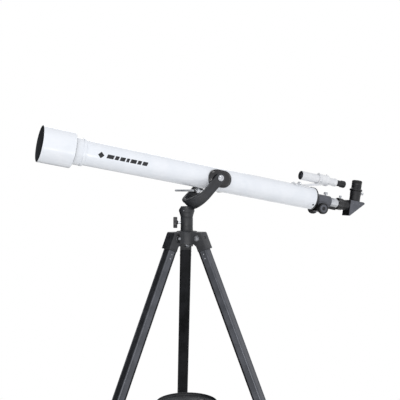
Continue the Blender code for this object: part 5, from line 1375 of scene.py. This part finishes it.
@dataclass
class Leg:
    """One leg: bracket, extruded upper leg, clamp collar with its knob, extension, foot and brace."""

    name: str
    width: float = 31.0
    depth: float = 25.0
    wall: float = 1.6
    corner: float = 4.0
    top: float = 36.0
    end: float = 620.0
    lower_start: float = 560.0
    collar_height: float = 60.0
    collar_wall: float = 4.5
    brace_at: float = 600.0
    brace_offset: float = 26.0
    brace_thick: float = 5.0
    splay: float = 22.4
    hinge_height: float = 980.0
    foot_height: float = 34.0
    foot_width: float = 30.0
    bolt_radius: float = 4.0

    def extrusion(self, depth: float, width: float, corner: float, low: float, high: float,
                  channel: float) -> bmesh.types.BMesh:
        """A hollow leg whose side and front faces have a shallow channel.

        Args:
            depth: across the leg, in and out.
            width: across the leg, along the hinge bolt.
            corner: outer corner radius.
            low: lower end along the leg.
            high: upper end along the leg.
            channel: depth of the channels.

        Returns:
            The shape.
        """
        x, y = depth / 2, width / 2
        outline: list[Point] = []
        for i, (cx, cy) in enumerate(((x - corner, y - corner), (-x + corner, y - corner), (-x + corner, -y + corner),
                                      (x - corner, -y + corner))):
            outline += arc(cx, cy, corner, 90 * i, 90 * i + 90, 5)
            span = (depth if i % 2 == 0 else width) / 2 - corner - 1.2
            face = y if i % 2 == 0 else x
            # strip sets a point 6 mm from the inner edge of each side face, where the painted shade band begins.
            strip = (x - 6) * (-1 if i == 0 else 1) if i % 2 == 0 else 0.0
            along = [(span, 0.0), (span - 0.8, channel), (strip, channel), (-span + 0.8, channel), (-span, 0.0)]
            for a, sunk in along:
                if i == 0:
                    outline.append((a, face - sunk))
                elif i == 1:
                    outline.append((-face + sunk, a))
                elif i == 2:
                    outline.append((-a, -face + sunk))
                else:
                    outline.append((face - sunk, -a))
        inner = [(px * (x - self.wall) / x, py * (y - self.wall) / y) for px, py in outline]
        edge = 0.35
        small = grown(outline, -edge)
        rings = [[(px, py, low) for px, py in small], [(px, py, low + edge) for px, py in outline]]
        rings += [[(px, py, high - edge) for px, py in outline], [(px, py, high) for px, py in small]]
        rings += [[(px, py, high) for px, py in inner], [(px, py, low) for px, py in inner]]
        # Slot 1, the darker anodised copy, is painted shade on the inner 6 mm of the leg and inside its hollow.
        return painted(loft(rings, closed=True), 1, lambda at, n: at.x < 6 - x or Vector((at.x, at.y)).length < x - 2)

    def bracket(self) -> bmesh.types.BMesh:
        """The hinge eye: a rounded block. Its bore and a shallow slot in each side are cut when the leg is built."""
        x = self.depth / 2
        outline = arc(0, 0, 10.5, 0, 180, 20)
        outline += eased([(-x, -12), (-x, -self.top), (x, -self.top), (x, -12)], 1.5, 3)[3:-3]
        return pad(outline, -self.width / 2, self.width / 2, 0.8)

    def build(self, look: Palette) -> None:
        """Builds the leg's pieces."""
        leg, name = leg_place(self.name), self.name
        body = f"leg_{name}"
        flat = Matrix.Rotation(pi / 2, 4, "X")
        bracket = piece(f"leg_eye_{name}", self.bracket(), leg @ flat, body, [look.charcoal],
                        [f"leg_bracket_{name}"])
        carve(bracket, lathe([(0, -30), (4.4, -30), (4.4, 30), (0, 30)], 0.01, 40), leg @ facing((0, 1, 0)))
        for sign in (1, -1):
            carve(bracket, pad(stadium(8, 2.2, 8), 14.2, 20, 0.1), leg @ facing((0, sign, 0), (0, 0, 1), (0, 0, -23)))
        piece(f"upper_leg_extruded_{name}",
              self.extrusion(self.depth, self.width, self.corner, -self.end, -self.top - 0.3, 0.7), leg, body,
              [look.anodised, look.anodised_painted_shade], [f"upper_leg_{name}"])
        for i, z in enumerate((-46.0, -58.0)):
            for side in (1, -1):
                rivet = lathe([(0, 15.0), (2.6, 15.0), (2.6, 15.5), (2.0, 16.3), (0.9, 16.7), (0, 16.7)], 0.2, 28)
                piece(f"leg_rivet_{name}_{i}_{'a' if side > 0 else 'b'}", rivet,
                      leg @ facing((0, side, 0), (0, 0, 1), (0, 0, z)), body, [look.zinc])
        self.collar(look, leg, body)
        low_depth = self.depth - 2 * self.wall - 0.8
        low_width = self.width - 2 * self.wall - 0.8
        length = self.hinge_height / cos(radians(self.splay))
        low_end = length - self.foot_height
        extension = f"extension_{name}"
        piece(f"lower_leg_extruded_{name}",
              self.extrusion(low_depth, low_width, 2.5, -low_end, -self.lower_start, 0.5), leg, extension,
              [look.anodised, look.anodised_painted_shade], [f"lower_leg_{name}"])
        self.foot(look, leg, extension, low_depth, low_width, low_end)
        self.brace(look)

    def collar(self, look: Palette, leg: Matrix, body: str) -> None:
        """Clamp collar round the upper leg's end, with ears for the brace and the lock knob."""
        name, gap = self.name, 0.3
        low, high = -self.end - self.collar_height / 2, -self.end + self.collar_height / 2
        grow = 2 * gap + 2 * self.collar_wall
        outline = rounded(self.depth + grow, self.width + grow, 6, 6)
        rings = []
        for inset, z in ((-1.4, low), (-0.4, low + 0.5), (0, low + 1.5), (0, low + 24), (-0.9, low + 25),
                         (-0.9, low + 27), (0, low + 28), (0, high - 9), (-0.9, high - 8), (-0.9, high - 6.5),
                         (0, high - 5.5), (0, high - 1.5), (-0.4, high - 0.5), (-1.4, high)):
            rings.append([(x, y, z) for x, y in grown(outline, inset)])
        collar = piece(f"collar_moulded_{name}", loft(rings), leg, body, [look.charcoal],
                       [f"clamp_collar_{name}"])
        flat = Matrix.Rotation(pi / 2, 4, "X")
        off = self.brace_offset
        ears = eased([(0, -10), (0, 18), (-off, 7), (-off - 6.5, 0), (-off, -7)], 2.5)
        carve(collar, pad(ears, -10.5, 10.5, 0.8), leg @ moved(z=-self.brace_at) @ flat, join=True)
        seat = rounded(self.depth + 2 * gap, self.width + 2 * gap, self.corner)
        carve(collar, pad(seat, -self.end - gap, high + 10, 0.05), leg)
        sliding = rounded(self.depth - 2 * self.wall, self.width - 2 * self.wall, 2.8)
        carve(collar, pad(sliding, low - 10, high, 0.05), leg)
        slot = pad(rounded(60, self.brace_thick + 0.8, 0.3), -30, 36, 0.05)
        carve(collar, slot, leg @ moved(-self.depth / 2 - self.collar_wall - gap - 30.3, 0, -self.brace_at))
        knob = joint_place(f"leg_knob_turn_{name}")
        carve(collar, lathe([(0, 0), (3.4, 0), (3.4, 30), (0, 30)], 0.01, 32), knob)
        for side in (1, -1):
            head = lathe([(0, 10.2), (3.2, 10.2), (3.2, 11.0), (2.4, 11.8), (0.9, 12.0), (0, 12.0)], 0.2, 28)
            place = leg @ facing((0, side, 0), (0, 0, 1), (-off, 0, -self.brace_at))
            piece(f"brace_pin_{name}_{'a' if side > 0 else 'b'}", head, place, body, [look.zinc])
        face = self.depth / 2 + gap + self.collar_wall
        tip = (self.depth - 2 * self.wall - 0.8) / 2 + gap
        stem = lathe([(0, tip), (3, tip), (3, face + 2), (7, face + 2), (7, face + 6), (0, face + 6)], 0.3, 40)
        grip = pad(toothed(13, 3.0, 5, 16), face + 5, face + 14, 1.4, 4)
        cap = lathe([(0, face + 13), (5.2, face + 13), (5.2, face + 13.8), (0, face + 13.95)], 0.2, 40)
        piece(f"leg_knob_lobed_{name}", merged(stem, grip), knob, f"leg_knob_{name}", [look.satin_black],
              [f"leg_knob_{name}"])
        piece(f"leg_knob_cap_{name}", cap, knob, f"leg_knob_{name}", [look.silver])

    def foot(self, look: Palette, leg: Matrix, body: str, depth: float, width: float, end: float) -> None:
        """Rubber foot with a flat tread that lies on the ground."""
        run = self.hinge_height * sin(radians(self.splay)) / cos(radians(self.splay))
        sole = -self.hinge_height
        rise = self.foot_height * cos(radians(self.splay))
        lean = self.foot_height * sin(radians(self.splay))
        half = self.foot_width / 2
        rings = []
        for share, shrink in ((0.0, 0.93), (0.015, 0.99), (0.04, 1.0), (0.24, 1.0), (0.27, 0.96), (0.30, 0.96),
                              (0.33, 1.0), (0.45, 0.97), (0.75, 0.90), (0.93, 0.87), (0.98, 0.85), (1.0, 0.81)):
            z = sole + (rise + 2) * share
            middle = run - (lean + 0.8) * max(0.0, share - 0.12)
            tilt = 6.0 * max(0.0, (share - 0.24) / 0.76)
            outline = rounded(2 * half * shrink, 2 * half * (0.5 + 0.5 * shrink), 4.5, 6)
            rings.append([(middle + x, y, z + tilt * x / half * 0.9) for x, y in outline])
        stand = leg @ Matrix.Rotation(radians(self.splay), 4, "Y")
        foot = piece(f"foot_moulded_{self.name}", loft(rings), stand, body, [look.rubber],
                     [f"foot_{self.name}"])
        cup = rounded(depth + 0.6, width + 0.6, 2.5)
        carve(foot, pad(cup, -end - 0.3, -end + 50, 0.05), leg)

    def brace(self, look: Palette) -> None:
        """Flat brace with a raised middle rib. The pins at its hinge are built with the collar."""
        name = self.name
        hinge = joint_place(f"brace_swing_{name}")
        low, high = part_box(f"brace_{name}")
        axis = Vector(JOINTS["azimuth_turn"]["pos_m"])
        inward = Vector((axis.x - hinge.translation.x, axis.y - hinge.translation.y, 0)).normalized()
        slope = radians(20)
        run = inward * cos(slope) + Vector((0, 0, 1)) * sin(slope)
        length = 232.63
        place = basis(Vector(JOINTS[f"brace_swing_{name}"]["axis"]), run, hinge.translation)
        bar = shifted(pad(stadium(length, 7, 14), -2.4, 2.4, 0.6), length / 2)
        rib = shifted(pad(stadium(length - 40, 2.6, 8), -2.5, 2.5, 0.1), length / 2)
        piece(f"brace_bar_{name}", merged(bar, rib), place, f"brace_{name}", [look.anodised],
              [f"brace_{name}"])
        log.info("brace %s spans %.3f to %.3f m in height", name, low.z, high.z)


@dataclass
class Tray:
    """Slotted spreader with the accessory tray and its screw."""

    spreader_radius: float = 34.0
    half: float = 6.0
    boss: float = 9.5
    slot_start: float = 11.0
    slot_length: float = 60.0
    slot_width: float = 5.8
    rise: float = 22.0
    radius: float = 85.0
    lip: float = 10.0
    hole_at: float = 50.0
    hole_radius: float = 16.0

    def build(self, look: Palette) -> None:
        """Builds the spreader, the tray and the screw."""
        stand = joint_place("tray_screw_turn", (1, 0, 0))
        profile = [(3.6, -self.half), (self.spreader_radius - 1, -self.half), (self.spreader_radius, -self.half + 1)]
        profile += [(self.spreader_radius, self.half - 1), (self.spreader_radius - 1, self.half), (14, self.half)]
        profile += [(self.boss, self.half + 2), (self.boss, self.rise - 0.3), (3.6, self.rise - 0.3)]
        spreader = piece("spreader_slotted", lathe(profile, 0.5, 96, ring=True), stand, "spreader",
                         [look.charcoal], ["spreader"])
        for leg in LEGS:
            radial = stand @ basis((0, 0, 1), Hub.outward(leg), (0, 0, 0))
            cut = shifted(pad(rounded(self.slot_length, self.slot_width, 0.4), -20, 14.5, 0.05),
                          self.slot_start + self.slot_length / 2)
            carve(spreader, cut, radial)
        floor, lip, r = self.rise, self.rise + self.lip, self.radius
        profile = [(3.6, floor), (r - 30, floor), (r - 5, floor), (r - 1.4, floor + 1.4), (r, floor + 5)]
        profile += [(r, lip - 1.6)]
        profile += [(r - 0.3, lip - 0.4), (r - 1.0, lip), (r - 1.8, lip - 0.4), (r - 2.0, lip - 1.6)]
        profile += [(r - 2.0, floor + 5.5), (r - 3.2, floor + 3), (r - 6, floor + 2), (r - 12, floor + 2)]
        profile += [(r - 12.6, floor + 1.3), (r - 14.0, floor + 1.3), (r - 14.6, floor + 2), (24, floor + 2)]
        profile += [(20, floor + 2), (19.4, floor + 1.3), (18, floor + 1.3), (17.4, floor + 2), (3.6, floor + 2)]
        tray = piece("tray_moulded", lathe(profile, 0.4, 144, ring=True), stand, "spreader", [look.charcoal],
                     ["accessory_tray"])
        first = Hub.outward("left")
        for i in range(3):
            turn = Matrix.Rotation(TURN * i / 3 + pi / 3, 3, "Z") @ first
            spot = stand @ basis((0, 0, 1), turn, (0, 0, 0)) @ moved(self.hole_at)
            carve(tray, lathe([(0, 10), (self.hole_radius, 10), (self.hole_radius, 50), (0, 50)], 0.01, 96), spot)
            ring = [(16.05, floor + 0.4), (17.6, floor + 2.02), (17.6, floor + 2.7), (16.8, floor + 3.1),
                    (16.05, floor + 2.7)]
            piece(f"tray_hole_rim_{i}", lathe(ring, 0.2, 96, ring=True), spot, "spreader", [look.charcoal])
        head = floor + 2.3
        shank = [(0, -self.half - 4), (2.2, -self.half - 4), (3, -self.half - 3), (3, head + 1), (0, head + 1)]
        screw = lathe(shank, 0.2, 40)
        grip = pad(toothed(10, 0.7, 18, 8), head, head + 7.4, 0.9, 4)
        cap = lathe([(0, head + 7), (6, head + 7), (5.6, head + 8.2), (4.4, head + 8.8), (0, head + 9)], 0.4, 48)
        piece("tray_screw_knob", merged(screw, grip, cap), stand, "tray_screw", [look.satin_black],
              ["tray_screw"])


@dataclass
class Studio:
    """Pale floor, soft lights, white surround and the camera."""

    lens_mm: float = 58.5
    sensor_mm: float = 36.0
    stand_off: tuple[float, float, float] = (-0.7030, -1.6473, 0.1194)  # camera from the leg hinges' middle, in metres
    tilt: float = 89.5  # degrees from straight down
    heading: float = -24.28
    floor_radius: float = 1.45
    shade_bearing: float = 134.0  # degrees, towards a black flag that keeps one side of the dark legs dark

    def camera(self) -> None:
        """Sets the camera."""
        data = bpy.data.cameras.new("camera")
        data.lens, data.sensor_width = self.lens_mm, self.sensor_mm
        camera = bpy.data.objects.new("camera", data)
        camera.location = Vector(JOINTS["azimuth_turn"]["pos_m"]) + Vector(self.stand_off)
        camera.rotation_euler = (radians(self.tilt), 0, radians(self.heading))
        bpy.context.scene.collection.objects.link(camera)
        bpy.context.scene.camera = camera

    def floor(self) -> None:
        """A pale round sweep of painted board under the tripod."""
        shape = turned([(0, 0), (self.floor_radius, 0), (self.floor_radius + 0.02, -0.01), (0, -0.01)], 128)
        bmesh.ops.recalc_face_normals(shape, faces=shape.faces)
        mesh = bpy.data.meshes.new("floor")
        shape.to_mesh(mesh)
        shape.free()
        board = Finish("board_painted_matt", "#E4E4E2", "#DCDCDA", (0.55, 0.7), Grain.SPRAYED, grain_mm=3,
                       relief_mm=0.05, patch_mm=300)
        mesh.materials.append(board.build())
        floor = bpy.data.objects.new("floor", mesh)
        bpy.context.scene.collection.objects.link(floor)

    def surround(self) -> None:
        """White behind the object, with a softer sky that lights it from above."""
        world = bpy.data.worlds.new("studio")
        world.use_nodes = True
        bpy.context.scene.world = world
        tree = world.node_tree
        for node in list(tree.nodes):
            tree.nodes.remove(node)
        place = add(tree, "ShaderNodeTexCoord").outputs["Generated"]
        height = add(tree, "ShaderNodeSeparateXYZ", {}, {"Vector": place}).outputs["Z"]
        ramp = add(tree, "ShaderNodeMapRange", {"From Min": -0.7, "From Max": 0.9, "To Min": 0.95, "To Max": 0.78},
                   {"Value": height}, interpolation_type="SMOOTHSTEP")
        shade = Vector((cos(radians(self.shade_bearing)), sin(radians(self.shade_bearing)), -0.1)).normalized()
        facing_shade = add(tree, "ShaderNodeVectorMath", {1: tuple(shade)}, {0: place}, operation="DOT_PRODUCT")
        keep = add(tree, "ShaderNodeMapRange", {"From Min": 0.30, "From Max": 0.75, "To Min": 1.0, "To Max": 0.0},
                   {"Value": facing_shade.outputs["Value"]}, interpolation_type="SMOOTHSTEP")
        strength = add(tree, "ShaderNodeMath", {}, {0: ramp.outputs[0], 1: keep.outputs[0]}, operation="MULTIPLY")
        soft = add(tree, "ShaderNodeBackground", {"Color": (0.975, 0.98, 1.0, 1.0)}, {"Strength": strength.outputs[0]})
        plain = add(tree, "ShaderNodeBackground", {"Color": (1.0, 1.0, 1.0, 1.0), "Strength": 1.0})
        seen = add(tree, "ShaderNodeLightPath").outputs["Is Camera Ray"]
        mix = add(tree, "ShaderNodeMixShader", {}, {0: seen, 1: soft.outputs[0], 2: plain.outputs[0]})
        add(tree, "ShaderNodeOutputWorld", {}, {"Surface": mix.outputs[0]})

    def lamp(self, name: str, at: Sequence[float], size: tuple[float, float], watts: float) -> None:
        """A soft box that faces the mount.

        Args:
            name: its name.
            at: its place from the altitude joint, in metres.
            size: its width and height in metres.
            watts: its power.
        """
        data = bpy.data.lights.new(name, "AREA")
        data.shape, data.size, data.size_y, data.energy = "RECTANGLE", size[0], size[1], watts
        lamp = bpy.data.objects.new(name, data)
        target = Vector(JOINTS["altitude_tilt"]["pos_m"])
        lamp.location = target + Vector(at)
        lamp.rotation_euler = (target - lamp.location).to_track_quat("-Z", "Y").to_euler()
        bpy.context.scene.collection.objects.link(lamp)

    def build(self) -> None:
        """Builds the studio."""
        bpy.context.scene.view_settings.view_transform = "Standard"
        self.camera()
        self.floor()
        self.surround()
        self.lamp("key", (-0.5, -1.0, 2.0), (1.4, 0.5), 9)
        self.lamp("fill", (-0.9, -1.9, -0.7), (1.6, 0.9), 13)
        self.lamp("back", (0.4, 1.7, 1.1), (1.8, 0.8), 6)
        log.info("studio built")


def main() -> None:
    """Builds every sub-assembly in order."""
    look = Palette()
    Studio().build()
    OpticalTube().build(look)
    Saddle().build(look)
    Focuser().build(look)
    Diagonal().build(look)
    Finder().build(look)
    Fork().build(look)
    Hub().build(look)
    for leg in LEGS:
        Leg(leg).build(look)
    Tray().build(look)


if __name__ == "__main__":
    main()
